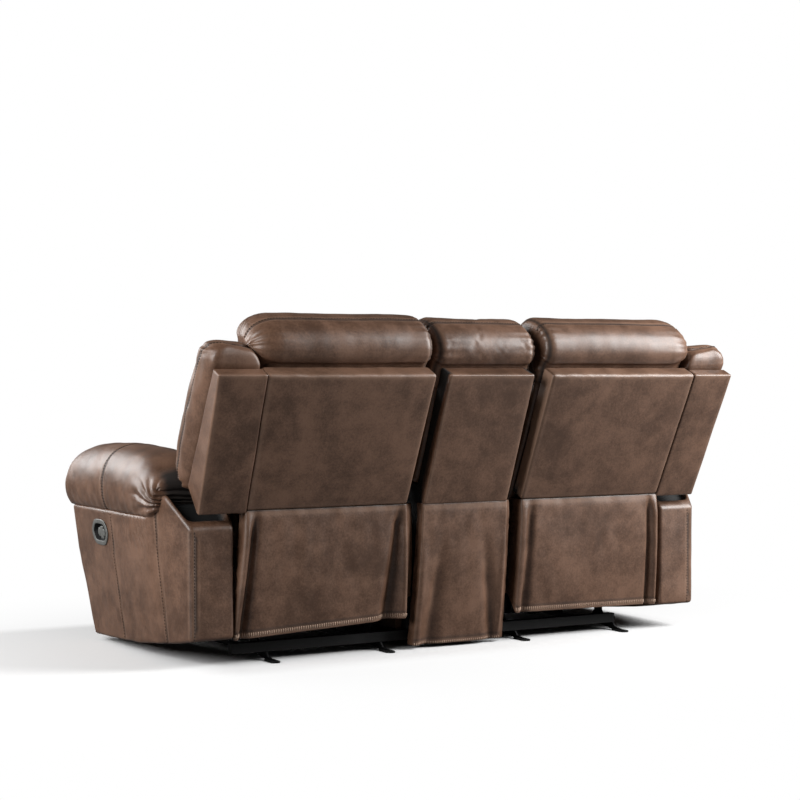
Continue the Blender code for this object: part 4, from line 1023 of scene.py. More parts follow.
def hem_up(piece, grid, hem_row):
    """Paint shade at the top and above the hem, mark the hem and rubbed edges, thicken the hide, find its
    thread's line.
    """
    at = points_of(piece)
    face = grid[:, STRIP_STEPS:-STRIP_STEPS]
    line = (at[face[hem_row]] + at[face[hem_row + 1]]) / 2 + (0.0, 0.006, 0.0)
    # Painted shade along the top row, under the back, and on the row above the hem's fold.
    painted_shade = np.zeros(len(at))
    painted_shade[face[hem_row - 1]] = 0.6
    painted_shade[face[0]] = 0.8
    rub_and_painted_light = np.zeros(len(at))
    rub_and_painted_light[face[hem_row:]] = 1.0
    rub_and_painted_light[face[:, [0, 1, -2, -1]]] = 0.45
    rub_and_painted_light[face[[1, 2]]] = 0.6
    paint(piece, "painted_shade", painted_shade)
    paint(piece, "rub_and_painted_light", rub_and_painted_light)
    thick = piece.modifiers.new("hide", "SOLIDIFY")
    thick.thickness = 0.0026
    thick.offset = 0.0
    smoother(piece)
    return line


# A roll's height and width; a valley's depth, its distance from the edge at the top and at the hem, and its
# width; and how far a strip reaches outward, forward and up. The edge beside the console comes first.
HUNG = {
    "left": {
        "flare": (-0.020, 0.026), "tilt": -0.028, "seed": 3.0, "flat_wide": 0.650,
        "edges": (
            {"roll": (0.010, 0.010), "valley": (0.038, 0.018, 0.060, 0.030), "strip": (0.034, 0.030, 0.062)},
            {"roll": (0.015, 0.010), "valley": (0.026, 0.034, 0.030, 0.015), "strip": (0.002, 0.036, 0.020)},
        ),
    },
    "right": {
        "flare": (-0.003, 0.018), "tilt": -0.006, "seed": 5.0, "flat_wide": 0.690,
        "edges": (
            {"roll": (0.010, 0.013), "valley": (0.018, 0.042, 0.036, 0.016), "strip": (-0.004, 0.082, 0.058)},
            {"roll": (0.014, 0.011), "valley": (0.024, 0.034, 0.028, 0.011), "strip": (0.002, 0.034, 0.010)},
        ),
    },
}
for side_word, side in SIDES:
    hung = HUNG[side_word]
    piece, grid = skirt(side_word + "_skirt", span=(0.213, 0.757), flare=hung["flare"], top=(0.3450, 0.4600),
                        hem=(0.3060, 0.0885), tilt=hung["tilt"], edges=hung["edges"], seed=hung["seed"])
    if side < 0:
        put_points(piece, points_of(piece) * (-1.0, 1.0, 1.0))
        piece.data.flip_normals()
    line = hem_up(piece, grid, 49)
    thread = stitches(side_word + "_skirt_thread", piece, [line], (0.0,), pale_thread, long=0.0120,
                      pitch=0.0075, thick=0.0011, overcast=True)
    thread.parent = None
    for part in (piece, thread):
        side_word + "_carriage"
        side_word + "_back"
        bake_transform(part)
    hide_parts(side_word + "_rear_flap")
    side_word + "_back_cover"

# Console back: a leaning board on a post, covered like the backs, with a head roll and a thinner cushion.
# It is screwed to the rear bar, and its own skirt hangs nearly to the floor.
CONSOLE_LEAN = radians(21.55)
CONSOLE_FOOT = 0.353
CONSOLE_HIGH = 0.430
CONSOLE_HALF = 0.154
POST_FRONT = 0.2105
POST_REAR = 0.2495
POST_LOW = 0.0554


def on_console(x, u, v):
    return leaning(x, u, v, CONSOLE_FOOT, CONSOLE_LEAN)


corners = np.array([(0.0, 0.0), (CONSOLE_HIGH, 0.0), (CONSOLE_HIGH, PANEL_DEEP), (0.0, PANEL_DEEP)])
post_line = on_console(0.0, corners[:, 0], corners[:, 1])[:, 1:].tolist()
post_line += [(POST_FRONT, 0.515), (POST_FRONT, POST_LOW), (POST_REAR, POST_LOW), (POST_REAR, 0.4560)]
outline = rounded(post_line, radius=0.0052, counts=(46, 4, 40, 6, 20, 2, 20, 6))
loops = []
for along, inset in stations(-CONSOLE_HALF, CONSOLE_HALF, 0.005, 0.005, 0.010):
    loop = shrink(outline, inset)
    loops.append(np.stack([np.full(len(loop), along), loop[:, 0], loop[:, 1]], 1))
console_back = tube("console_back_cover", loops, leather, 1)
points = points_of(console_back)
aside = np.abs(points[:, 0])
up, before = up_and_before(points, CONSOLE_FOOT, CONSOLE_LEAN)
rear = np.clip(1.0 - np.abs(before) / 0.010, 0.0, 1.0) * (up > 0.004)
swell = np.clip(crown(0.5 + points[:, 0] / (2 * CONSOLE_HALF), up / CONSOLE_HIGH), 0.0, 1.0)
press(console_back, rear * (0.0030 * swell + 0.0014 * ripple(points, 8.0, 12)))
edge = np.minimum(CONSOLE_HALF - aside, CONSOLE_HIGH - up)
paint(console_back, "rub_and_painted_light", rear * dent(edge, 0.011) * 0.8)
# Painted shade: the sides in the gaps beside the backs and the post below the board are black.
paint(console_back, "painted_gap_shade", ((aside > CONSOLE_HALF - 0.0055) & (before > 0.008)) | (up < -0.004))
smoother(console_back)
dress(console_back, "base", "console_back_frame")

pillow, grid, crest = roll("console_head_roll", (-0.180, 0.180), (0.030, 0.030), on_console, drop=0.0095,
                           held_ends=[2, -3], slack=0.004, most=0.012)
fold_ends(pillow, grid, reaches=(0.045, 0.045), high=0.0045, seed=2.0)
at = points_of(pillow)
press(pillow, 0.0035 * ripple(at, 8.0, 21) + 0.0010 * ripple(at * (1.0, 0.5, 0.5), 30.0, 22))
close_cover(pillow, sewn_ends(pillow, grid, 2, crest), depth=0.0035, wide=0.005, body="base",
            cad_node="console_head_pillow", thread_name="console_head_roll_thread", aside=(0.006,))

# The cushion is the seats' one, thinner and shorter, so that it stands above the console's deck
BOARD_FRONT = LUMBAR[0][0]
thin = [(BOARD_FRONT + (v - BOARD_FRONT) * 0.72, 0.040 + (u + 0.052) * 0.748) for v, u in LUMBAR]
cushion, grid, cross = lumbar("console_lumbar_cushion", (-0.164, 0.164), thin, on_console)
press(cushion, 0.002 * ripple(points_of(cushion), 10.0, 14))
close_cover(cushion, sewn_ends(cushion, grid, 4, cross), depth=0.006, wide=0.0065, body="base",
            cad_node="console_back_cushion", thread_name="console_lumbar_thread", aside=(-0.009, 0.009))

edges = ({"roll": (0.008, 0.008), "valley": (0.020, 0.100, 0.022, 0.026), "strip": (0.022, 0.020, 0.0)},
         {"roll": (0.008, 0.012), "valley": (0.018, 0.085, 0.055, 0.028), "strip": (0.001, 0.036, 0.0)})
piece, grid = skirt("console_skirt", span=(-CONSOLE_HALF, CONSOLE_HALF), flare=(-0.006, 0.006),
                    top=(0.3500, 0.4600), hem=(0.2940, 0.0115), tilt=0.0, edges=edges, seed=8.0, starts=0.22)
line = hem_up(piece, grid, 50)
thread = stitches("console_skirt_thread", piece, [line], (0.0,), pale_thread, long=0.008, pitch=0.0075,
                  thick=0.0009, overcast=True)
dress(piece, "base", "console_rear_flap")

# Seat cushions: foam blocks under a crowned leather cover that rolls over the front edge.
# A seam across the front and one along each side close the cover, and the seat swells between them.
SEAT_SPAN = (0.192, 0.7686)
SEAT_LOW = 0.3412
SEAT_SEAM = (-0.396, 0.452)
SEAT_SEAM_ROW = 3


def on_deck(x, z, y):
    """The cushion lies flat on its deck."""
    return np.stack([x + 0.0 * y, y, np.maximum(z, SEAT_LOW)], -1)


seat_line = [(-0.398, SEAT_LOW), (-0.1, SEAT_LOW), (0.226, SEAT_LOW), (0.241, SEAT_LOW + 0.028),
             (0.240, SEAT_LOW + 0.078), (0.216, 0.450), (0.130, 0.468), (0.0, 0.479), (-0.150, 0.483),
             (-0.280, 0.481), (-0.356, 0.470), (-0.402, 0.446), (-0.417, 0.412), (-0.414, SEAT_LOW + 0.038)]
shape = smooth_through(seat_line, 130, True)
shape[:, 1] = np.maximum(shape[:, 1], SEAT_LOW)
seat, grid = stuffed("left_seat_pad", shape, SEAT_SPAN, (0.030, 0.030), on_deck, step=0.010, squeeze=0.62,
                     end_rings=6)
front_seam = nearest(shape, *SEAT_SEAM)
side_rows = [SEAT_SEAM_ROW, -1 - SEAT_SEAM_ROW]
under = shape[:, 1] < SEAT_LOW + 0.004
above = np.nonzero(shape[:, 1] > SEAT_LOW + 0.05)[0]
holds = [(np.s_[:, under], 1.0), (np.s_[:, front_seam], 1.0), (side_rows, 0.9)]
puff(seat, grid, holds, push=4.5, slack=0.014, most=0.010)
fold_ends(seat, grid, reaches=(0.05, 0.05), high=0.0022, seed=5.0)
right_seat = mirrored(seat, "right_seat_pad")
for piece, side_word, seed in ((seat, "left", 31), (right_seat, "right", 35)):
    at = points_of(piece)
    upper = ramp(at[:, 2], SEAT_LOW + 0.02, 0.05)
    press(piece, upper * (0.003 * ripple(at, 8.0, seed) + 0.0012 * ripple(at, 26.0, seed + 1)))
    at = points_of(piece)
    seams = [at[grid[:, front_seam]]] + [at[grid[row, above]] for row in side_rows]
    close_cover(piece, seams, depth=0.0045, wide=0.006, body=side_word + "_carriage",
                cad_node=side_word + "_seat_cushion", thread_name=side_word + "_seat_thread",
                aside=(-0.008, 0.008))

# Footrest pads: foam on a plywood board under one piece of leather, with a seam across the middle.
# The leather is drawn over the edges and stapled behind the board.
PAD_SPAN = (0.198, 0.748)
PAD_REAR = -0.4412
PAD_NEAREST = -0.4408
PAD_SEAM = (-0.500, 0.244)


def on_footboard(x, z, y):
    """The pad lies flat on its board."""
    return np.stack([x + 0.0 * y, np.minimum(y, PAD_NEAREST), z], -1)


pad_line = [(PAD_REAR, 0.098), (PAD_REAR, 0.244), (PAD_REAR, 0.386), (-0.4560, 0.394), (-0.478, 0.391),
            (-0.493, 0.376), (-0.498, 0.340), PAD_SEAM, (-0.498, 0.148), (-0.493, 0.112), (-0.478, 0.097),
            (-0.4560, 0.0935)]
shape = smooth_through(pad_line, 92, True)
shape[:, 0] = np.minimum(shape[:, 0], PAD_NEAREST)
foot, grid = stuffed("left_footrest_cover", shape, PAD_SPAN, (0.026, 0.026), on_footboard, step=0.010,
                     squeeze=0.75, end_rings=5)
middle_seam = nearest(shape, *PAD_SEAM)
on_board = shape[:, 0] > -0.4435
holds = [(np.s_[:, on_board], 1.0), (np.s_[:, middle_seam], 1.0)]
puff(foot, grid, holds, push=4.0, slack=0.014, most=0.008)
fold_ends(foot, grid, reaches=(0.04, 0.04), high=0.002, seed=7.0)
right_foot = mirrored(foot, "right_footrest_cover")
for piece, side_word, seed in ((foot, "left", 41), (right_foot, "right", 45)):
    at = points_of(piece)
    front = ramp(at[:, 1], -0.446, -0.02)
    press(piece, front * (0.002 * ripple(at, 9.0, seed) + 0.001 * ripple(at, 28.0, seed + 1)))
    seam = points_of(piece)[grid[:, middle_seam]]
    close_cover(piece, [seam], depth=0.006, wide=0.007, body=side_word + "_footrest",
                cad_node=side_word + "_footrest_pad", thread_name=side_word + "_footrest_thread",
                aside=(-0.009, 0.009))

# Arms: hollow timber boxes under leather in three outer panels, with a flat seam down the rear corner.
# The leather is stapled below and cut for the release handle. Behind the pad the top sinks to a ledge
# that is painted black for the shade in its hollow.
SHOULDER_UP = 0.66
SHOULDER_OUT = 0.74
LEDGE = (0.196, 0.304)
LEDGE_DEEP = 0.035
HANDLE_TILT = radians(5.75)
HANDLE_PLACE = (0.9794, -0.252, 0.362)
HOLE_LONG = 0.0620
HOLE_HIGH = 0.0355
# Each rib: place along the top, its height and outside; place, height and outside of the foot; inside
ARM_RIBS = np.array([
    (-0.505, 0.437, 0.982, -0.424, 0.016, 0.935, 0.7756),
    (-0.300, 0.437, 0.986, -0.250, 0.023, 0.937, 0.7756),
    (-0.050, 0.437, 0.986, -0.050, 0.033, 0.938, 0.7756),
    (0.120, 0.437, 0.982, 0.120, 0.053, 0.935, 0.7756),
    (0.200, 0.505, 0.970, 0.190, 0.061, 0.932, 0.7756),
    (0.225, 0.505, 0.965, 0.225, 0.066, 0.930, 0.7756),
    (0.328, 0.412, 0.926, 0.328, 0.083, 0.926, 0.788),
])


def arm_loop(along, inset):
    """Outline of the arm at a place along its top edge, in space, and where it sinks to the ledge."""
    columns = [np.interp(along, ARM_RIBS[:, 0], column) for column in ARM_RIBS.T]
    top_y, top_z, top_x, low_y, low_z, low_x, inner_x = columns
    tall = top_z - low_z
    mid_x = low_x + (top_x - low_x) * SHOULDER_OUT + 0.001
    corners = [(inner_x, 0.0), (low_x, 0.0), (mid_x, tall * SHOULDER_UP), (top_x, tall), (inner_x, tall)]
    x, up = shrink(rounded(corners, 0.011, (10, 34, 20, 12, 26), 3), inset).T
    ledge = (up > tall - inset - 0.0005) & (x < top_x - 0.014) & (x > inner_x + 0.012)
    sunk = ledge * ramp(along, LEDGE[0], 0.012) * ramp(along, LEDGE[1], -0.020)
    return np.stack([x, low_y + (top_y - low_y) * up / tall, low_z + up - LEDGE_DEEP * sunk], 1), sunk


def on_arm(y, low, high):
    """A line up the outside of the arm at a place along it."""
    heights = np.linspace(low, high, 80)
    top_z, top_x, low_z, low_x = [np.interp(y, ARM_RIBS[:, 0], ARM_RIBS[:, c]) for c in (1, 2, 4, 5)]
    share = (heights - low_z) / (top_z - low_z)
    x = low_x + (top_x - low_x) * np.interp(share, (0.0, SHOULDER_UP, 1.0), (0.0, SHOULDER_OUT, 1.0))
    return np.stack([x, np.full(len(x), y), heights], 1)


sections = [arm_loop(along, inset) for along, inset in stations(-0.505, 0.328, 0.010, 0.009, 0.0085)]
arm = tube("left_arm_cover", [section[0] for section in sections], leather, 12)
# Painted shade: the sunk ledge behind the pad is black for the shade in its hollow.
black = np.zeros(len(arm.data.vertices))
sunk = np.concatenate([section[1] for section in sections])
black[:len(sunk)] = sunk
paint(arm, "painted_gap_shade", black)
points = points_of(arm)
outside = ramp(points[:, 0], 0.90, 0.02)
pull = dent(points[:, 1] - 0.055, 0.075) * dent(points[:, 2] - 0.392, 0.045) * outside
across_pull = points[:, 1] * 0.93 + (points[:, 2] - 0.43) * 0.36
amount = 0.0042 * pull * np.sin(2 * pi * across_pull / 0.027 + 4.0 * ripple(points, 11.0, 51))
amount += outside * 0.0022 * ripple(points, 6.5, 52) + 0.0009 * ripple(points, 22.0, 53)
press(arm, amount)
points = points_of(arm)
back = points[:, 1] - HANDLE_PLACE[1]
up = (points[:, 2] - HANDLE_PLACE[2]) / cos(HANDLE_TILT)
share = ((np.abs(back) / HOLE_LONG) ** 2.5 + (np.abs(up) / HOLE_HIGH) ** 2.5) ** 0.4
share[points[:, 0] < 0.94] = 9.0
bm = bmesh.new()
bm.from_mesh(arm.data)
bm.verts.ensure_lookup_table()
cut = [face for face in bm.faces if all(share[vert.index] < 1.0 for vert in face.verts)]
bmesh.ops.delete(bm, geom=cut, context="FACES_KEEP_BOUNDARY")
for vert in bm.verts:
    if share[vert.index] < 1.0 and vert.is_boundary:
        grow = 1.0 / share[vert.index] - 1.0
        rise = up[vert.index] * grow
        vert.co += Vector((rise * sin(HANDLE_TILT), back[vert.index] * grow, rise))
loose = [vert for vert in bm.verts if not vert.link_faces]
bmesh.ops.delete(bm, geom=loose, context="VERTS")
bm.to_mesh(arm.data)
bm.free()
right_arm = mirrored(arm, "right_arm_cover")
corner = np.array([(0.9262, 0.3280, z) for z in np.linspace(0.398, 0.088, 60)])
felled = np.array([(0.9080, 0.3282, z) for z in np.linspace(0.398, 0.088, 60)])
panel_seams = [on_arm(-0.150, 0.040, 0.424), on_arm(0.175, 0.062, 0.455)]
for piece, side_word, side in ((arm, "left", 1), (right_arm, "right", -1)):
    seams = [seam * (side, 1.0, 1.0) for seam in panel_seams + [felled, corner]]
    sew(piece, seams, depth=0.0022, wide=0.0045)
    smoother(piece)
    dress(piece, side_word + "_carriage", side_word + "_arm_box")
    stitches(side_word + "_arm_thread", piece, seams[:2], (-0.0055 * side,))
    stitches(side_word + "_arm_corner_thread", piece, seams[2:3], (0.005,))

# Arm pads: fat pillow rolls of fibre over the arms, in two lengths of leather joined by a double-stitched
# cross seam. The rear end is gathered in deep pleats and tucked into the gap beside the wing, painted dark as
# shade.
PAD_MIDDLE = 0.880
PAD_LOW = 0.4312
PAD_CROSS = -0.190
PLEAT_KNOT = (0.242, 0.472)
# Across the arm, and up it as a share of the pad's height
pad_ring = smooth_through([(0.797, 0.012), (PAD_MIDDLE, 0.0), (0.968, 0.006), (0.990, 0.08), (1.002, 0.28),
                           (1.000, 0.50), (0.985, 0.72), (0.957, 0.87), (0.916, 0.955), (0.874, 0.985),
                           (0.834, 0.955), (0.800, 0.87), (0.777, 0.70), (0.769, 0.48), (0.772, 0.33),
                           (0.782, 0.12)], 76, True)
# Along the arm, then the foot, the top and the width of the pad there
pad_rows = smooth_through([
    (-0.535, 0.046, 0.094, 0.55), (-0.533, 0.018, 0.138, 0.82), (-0.522, 0.0, 0.174, 0.95),
    (-0.492, 0.0, 0.197, 0.99), (-0.420, 0.0, 0.208, 1.0), (-0.300, 0.0, 0.212, 1.0),
    (-0.200, 0.0, 0.213, 1.0), (-0.050, 0.0, 0.210, 1.0), (0.060, 0.0, 0.199, 0.99),
    (0.118, 0.0, 0.180, 0.98), (0.165, 0.004, 0.156, 0.96), (0.195, 0.026, 0.134, 0.86),
    (0.208, 0.048, 0.118, 0.66), (0.212, 0.064, 0.104, 0.46),
], 140, False)
loops = []
for y, low, rise, narrow in pad_rows:
    x = PAD_MIDDLE + 0.085 * (1.0 - narrow) * (y > 0.0) + (pad_ring[:, 0] - PAD_MIDDLE) * narrow
    loops.append(np.stack([x, np.full(len(x), y), PAD_LOW + low + (rise - low) * pad_ring[:, 1]], 1))
arm_pad = tube("left_arm_pillow", loops, leather, 6)
grid = grid_of(loops)
cross_row = int(np.argmin(np.abs(pad_rows[:, 0] - PAD_CROSS)))
under = pad_ring[:, 1] < 0.05
puff(arm_pad, grid, [(np.s_[:, under], 1.0), ([cross_row], 1.0)], push=4.0, slack=0.003, most=0.009)
points = points_of(arm_pad)
y, z = points[:, 1], points[:, 2]
reach = np.hypot(y - PLEAT_KNOT[0], z - PLEAT_KNOT[1])
angle = np.arctan2(z - PLEAT_KNOT[1], y - PLEAT_KNOT[0])
pleats = np.abs(np.sin(angle * 10.5 + 0.9 * ripple(points, 13.0, 61))) ** 0.7 - 0.7
pleats *= dent(reach - 0.085, 0.085) * ramp(z, 0.560, -0.05) * ramp(y, -0.04, 0.06)
soft_folds = np.sin(y * 2 * pi / 0.05 + 4.0 * ripple(points, 7.0, 62)) * ramp(z, 0.52, -0.06)
press(arm_pad, (0.0135 * pleats + 0.0014 * soft_folds) * ramp(z, 0.432, 0.012))
right_arm_pad = mirrored(arm_pad, "right_arm_pillow")
for piece, side_word, seed in ((arm_pad, "left", 63), (right_arm_pad, "right", 67)):
    at = points_of(piece)
    rise = ramp(at[:, 2], 0.436, 0.02)
    press(piece, rise * (0.0030 * ripple(at, 7.0, seed) + 0.0012 * ripple(at, 24.0, seed + 1)))
    at = points_of(piece)
    # Painted shade: the tucked rear end is nearly black for the shade in the gap beside the wing.
    paint(piece, "painted_gap_shade", 0.92 * ramp(at[:, 1], 0.155, 0.03) * ramp(np.abs(at[:, 0]), 0.968, -0.02))
    seam = np.concatenate([at[grid[cross_row]], at[grid[cross_row, :1]]])
    close_cover(piece, [seam], depth=0.0050, wide=0.0065, body=side_word + "_carriage",
                cad_node=side_word + "_arm_pad", thread_name=side_word + "_arm_pad_thread",
                aside=(-0.007, 0.007))

# Release handles: moulded grey cups let into the arms, with a finger well painted black as shade and a lever
# plate behind it.
# The cup's flange is screwed from inside, and the lever turns on a pin at its rear edge and pulls the cable.
grey_plastic, shader = finish("grey_moulded_plastic", {"Specular IOR Level": 0.45})
spark = speckle(1100.0)
well_shade = painted("painted_shade")
plastic_tone = tint(speckle(60.0, 4.0), srgb(72, 72, 70), srgb(92, 92, 89))
# Painted shade: the finger well is black where shade falls in it.
tint(well_shade, plastic_tone, srgb(5, 5, 5)).into(shader, "Base Color")
(0.38 + spark * 0.14 + well_shade * 0.3).into(shader, "Roughness")
relief(shader, spark, strength=0.25, deep=0.0003)
CUP_LONG = 0.058
CUP_HIGH = 0.031
CUP_CORNER = 0.022
# From the back of the cup over its flange into the well: growth, place out of the arm, painted shade
CUP_STEPS = ((0.002, -0.028, 0.0), (0.003, 0.0012, 0.0), (0.0098, 0.0012, 0.0), (0.0102, 0.0020, 0.0),
             (0.0096, 0.0034, 0.0), (0.0080, 0.0042, 0.0), (-0.0010, 0.0042, 0.0), (-0.0036, 0.0036, 0.0),
             (-0.0042, 0.0024, 0.9), (-0.0046, 0.0010, 1.0), (-0.0050, -0.022, 1.0), (-0.0080, -0.0255, 1.0))
LEVER_HALF = [(0.040, 0.010), (0.027, 0.010), (0.027, 0.0200), (0.007, 0.0200), (0.007, 0.0140),
              (-0.011, 0.0140), (-0.017, 0.007)]
LEVER_STEPS = ((0.0010, -0.0040), (0.0, -0.0032), (0.0, 0.0018), (0.0008, 0.0026))
BARREL_STEPS = ((-0.0205, 0.0028), (-0.0198, 0.0038), (0.0198, 0.0038), (0.0205, 0.0028))
BARREL_OUT = -0.007
BARREL_BACK = 0.024


def on_handle(side, out, back, up):
    """Points beside the handle's middle: out of the arm, towards the rear, and up along the tilted face."""
    out, back, up = np.broadcast_arrays(out, back, up)
    x = HANDLE_PLACE[0] + out * cos(HANDLE_TILT) + up * sin(HANDLE_TILT)
    z = HANDLE_PLACE[2] - out * sin(HANDLE_TILT) + up * cos(HANDLE_TILT)
    return np.stack([side * x, HANDLE_PLACE[1] + back, z], -1)


def cup_outline(grow):
    """Outline of the cup: a long octagon with soft corners, grown by a distance."""
    turn = np.linspace(0.0, 2 * pi, 64, endpoint=False)
    c = np.abs(np.cos(turn))
    s = np.abs(np.sin(turn))
    slant = CUP_LONG + CUP_HIGH - CUP_CORNER + 1.4 * grow
    near = (c / (CUP_LONG + grow)) ** 9 + (s / (CUP_HIGH + grow)) ** 9 + ((c + s) / slant) ** 9
    return np.cos(turn) * near ** (-1 / 9), np.sin(turn) * near ** (-1 / 9)


lever_line = LEVER_HALF + [(back, -up) for back, up in LEVER_HALF[::-1]]
lever_line = rounded(lever_line[-1:] + lever_line[:-1], radius=0.0018, counts=(6,) * 14, arc=3)
turn = np.linspace(0.0, 2 * pi, 20, endpoint=False)
for side_word, side in SIDES:
    loops = [on_handle(side, out, *cup_outline(grow)) for grow, out, _ in CUP_STEPS]
    cup = tube(side_word + "_handle_cup", loops, grey_plastic, 3)
    # The well's rings and its deep end carry the painted shade.
    dark = np.repeat([darkness for _, _, darkness in CUP_STEPS], 64)
    in_ends = (len(cup.data.vertices) - len(dark)) // 2
    paint(cup, "painted_shade", np.concatenate([dark, np.zeros(in_ends), np.ones(in_ends)]))
    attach(cup, side_word + "_carriage")
    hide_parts(side_word + "_handle_bezel")
    loops = []
    for inset, out in LEVER_STEPS:
        back, up = shrink(lever_line, inset).T
        loops.append(on_handle(side, out - 0.0022 * dent(back + 0.006, 0.009), back, up))
    lever = tube(side_word + "_lever_plate", loops, grey_plastic, 3)
    loops = []
    for up, radius in BARREL_STEPS:
        out = BARREL_OUT + radius * np.cos(turn)
        loops.append(on_handle(side, out, BARREL_BACK + radius * np.sin(turn), up))
    barrel = tube(side_word + "_lever_barrel", loops, grey_plastic, 2)
    barrel.parent = lever
    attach(lever, side_word + "_handle")
    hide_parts(side_word + "_handle_lever")

# Release cables: steel wire in a black ribbed sleeve, from the back of each cup to the mechanism's plate.
# The sleeve is clipped at both ends and keeps its bend inside the arm.
sleeve, shader = finish("ribbed_black_sleeve", {})
ribs = bands("X", 190.0)
tint(ribs, srgb(14, 14, 14), srgb(38, 38, 38)).into(shader, "Base Color")
(0.5 + ribs * 0.2).into(shader, "Roughness")
relief(shader, ribs, strength=0.4, deep=0.0006)
for side_word, side in SIDES:
    paint_node(side_word + "_release_cable", sleeve)


# Console box: a floor-standing timber chest under leather, with a bin, two cup wells and hinge ears behind.
# The leather is wrapped over rounded edges, and the deck has a topstitched border.
def softened(node, name, finish_used, wide, segments):
    """A copy of a CAD solid with its flat faces joined and its edges rounded."""
    mesh = nodes[node].data.copy()
    mesh.name = name
    bm = bmesh.new()
    bm.from_mesh(mesh)
    bmesh.ops.remove_doubles(bm, verts=bm.verts, dist=0.00001)
    bmesh.ops.dissolve_limit(bm, angle_limit=radians(1.0), verts=bm.verts, edges=bm.edges)
    bm.to_mesh(mesh)
    bm.free()
    mesh.materials.clear()
    mesh.materials.append(finish_used)
    mesh.polygons.foreach_set("use_smooth", [True] * len(mesh.polygons))
    made = bpy.data.objects.new(name, mesh)
    scene.collection.objects.link(made)
    edges = bevelled(made, wide, segments)
    edges.limit_method = "ANGLE"
    edges.angle_limit = radians(38.0)
    edges.harden_normals = True
    return made


BORDER_X = 0.160
DECK_TOP = 0.5605
CHEST_FRONT = -0.4405
chest = softened("console_box", "console_chest", leather, wide=0.0055, segments=4)
dress(chest, "base", "console_box")
border = np.array([(-BORDER_X, -0.245, DECK_TOP), (-BORDER_X, -0.412, DECK_TOP), (BORDER_X, -0.412, DECK_TOP),
                   (BORDER_X, -0.245, DECK_TOP)])
stitches("console_deck_thread", chest, [border[:2], border[1:3], border[2:]], (0.0,))
front_edge = np.array([(-BORDER_X, CHEST_FRONT, 0.520), (-BORDER_X, CHEST_FRONT, 0.030)])
stitches("console_front_thread", chest, [front_edge, front_edge * (-1.0, 1.0, 1.0)], (0.0,))

# Cup holders: a pressed insert of brushed stainless steel, two cups in one plate, dropped into the deck.
# The rim is rolled over and the floor of each cup is turned in fine rings.
cup_steel, shader = finish("brushed_stainless", {"Metallic": 1.0})
brush = speckle(1.0, 3.0, place=vectors("MULTIPLY", own_space(), (40.0, 900.0, 900.0)))
tint(brush, srgb(150, 150, 150), srgb(196, 195, 193)).into(shader, "Base Color")
(0.24 + brush * 0.16).into(shader, "Roughness")
relief(shader, brush, strength=0.15, deep=0.0002)
CUP_X = 0.070
CUP_Y = -0.325
PLATE_OUTER = 0.068
PLATE_HALF_DEEP = 0.064
PLATE_RINGS = ((1.0, 0.5606), (1.0, 0.5626), (0.99, 0.5634))
CUP_RINGS = ((0.0490, 0.5634), (0.0465, 0.5642), (0.0440, 0.5640), (0.0424, 0.5620), (0.0419, 0.5560),
             (0.0419, 0.4940), (0.0400, 0.4895), (0.0360, 0.4885), (0.020, 0.4885), (0.0005, 0.4885))
OUTSIDE_RINGS = ((0.0435, 0.5606), (0.0435, 0.4885), (0.0400, 0.4868), (0.0005, 0.4868))
turn = np.linspace(0.0, 2 * pi, 64, endpoint=False) + pi / 64
circle = np.stack([np.cos(turn), np.sin(turn)], 1)
verts = []
faces = []
for cup_x in (-CUP_X, CUP_X):
    half_wide = np.where(circle[:, 0] * cup_x > 0, PLATE_OUTER, CUP_X)
    reach = np.minimum(half_wide / np.abs(circle[:, 0]), PLATE_HALF_DEEP / np.abs(circle[:, 1]))
    square = circle * reach[:, None]
    inside = [(square * share, z) for share, z in PLATE_RINGS]
    inside += [(circle * radius, z) for radius, z in CUP_RINGS]
    outside = [(circle * radius, z) for radius, z in OUTSIDE_RINGS]
    for rings in (inside, outside):
        loops = [[(cup_x + a, CUP_Y + b, z) for a, b in flat] for flat, z in rings]
        lofted(verts, faces, loops, False, False)
insert = skin("console_cup_insert", verts, faces, cup_steel)
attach(insert, "base")
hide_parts("cup_holder_insert")

# Console lid: a padded board on two hinge straps, covered in leather with a stitched border.
# It lifts at the front to open the bin, and two knuckles turn on the steel rod behind it.
LID_LOW = 0.5546
LID_HALF = 0.166
LID_SEAM_ROW = 6


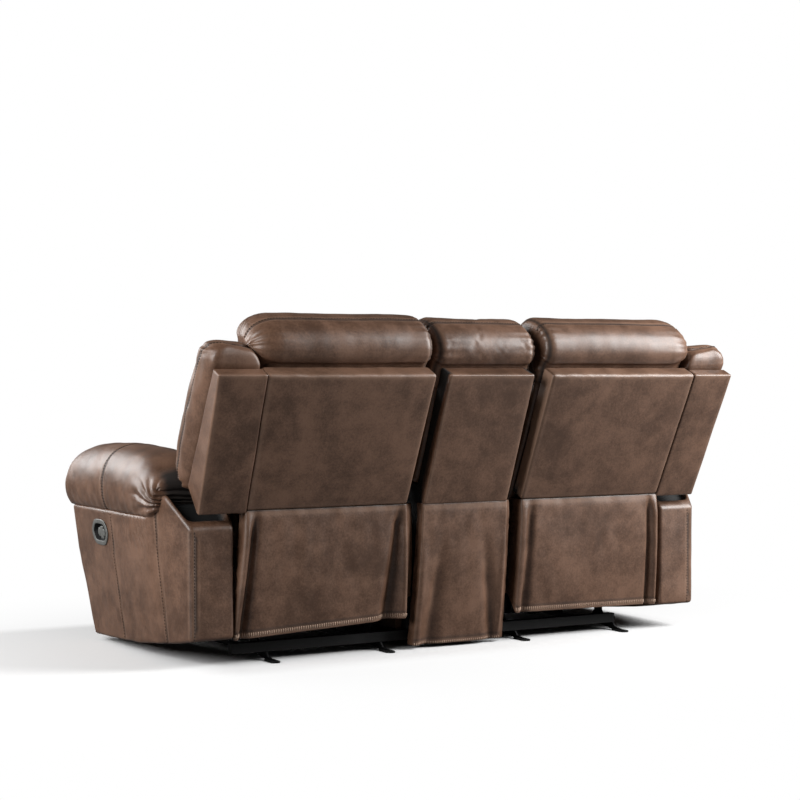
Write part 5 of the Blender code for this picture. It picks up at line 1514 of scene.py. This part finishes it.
def on_bin(x, z, y):
    """The lid lies flat over the bin."""
    return np.stack([x + 0.0 * y, y, np.maximum(z, LID_LOW)], -1)


lid_line = [(-0.219, LID_LOW + 0.001), (0.126, LID_LOW + 0.001), (0.128, 0.5765), (0.122, 0.598),
            (0.098, 0.609), (0.028, 0.6145), (-0.047, 0.615), (-0.132, 0.6145), (-0.190, 0.607),
            (-0.217, 0.594), (-0.223, 0.5745)]
shape = smooth_through(lid_line, 96, True)
shape[:, 1] = np.maximum(shape[:, 1], LID_LOW)
lid, grid = stuffed("console_lid_cover", shape, (-LID_HALF, LID_HALF), (0.016, 0.016), on_bin, step=0.0085,
                    squeeze=0.6, end_rings=4)
under = shape[:, 1] < LID_LOW + 0.012
puff(lid, grid, [(np.s_[:, under], 1.0)], push=3.0, slack=0.02, most=0.004)
at = points_of(lid)
press(lid, ramp(at[:, 2], 0.575, 0.02) * 0.0016 * ripple(at, 12.0, 71))
at = points_of(lid)
above = np.nonzero(shape[:, 1] > 0.585)[0]
seams = [at[grid[row, above]] for row in (LID_SEAM_ROW, -1 - LID_SEAM_ROW)]
close_cover(lid, seams, depth=0.003, wide=0.005, body="console_lid", cad_node="console_lid",
            thread_name="console_lid_thread", aside=(-0.006, 0.006), threaded=2)

STRAP_X = 0.120
STRAP_HALF = 0.006
STRAP_FRONT = 0.106
KNUCKLE = (0.146, 0.572)
KNUCKLE_RADIUS = 0.0105
strap_line = [(STRAP_FRONT, 0.5630), (0.139, 0.5625)]
for t in np.linspace(0.0, pi, 9):
    strap_line.append((KNUCKLE[0] + KNUCKLE_RADIUS * sin(t), KNUCKLE[1] - KNUCKLE_RADIUS * cos(t)))
strap_line.append((STRAP_FRONT, 0.5830))
verts = []
faces = []
for middle in (-STRAP_X, STRAP_X):
    faces_x = (middle - STRAP_HALF, middle + STRAP_HALF)
    lofted(verts, faces, [[(x, y, z) for y, z in strap_line] for x in faces_x])
straps = skin("console_lid_straps", verts, faces, black_steel)
bevelled(straps, wide=0.0010)
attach(straps, "console_lid")
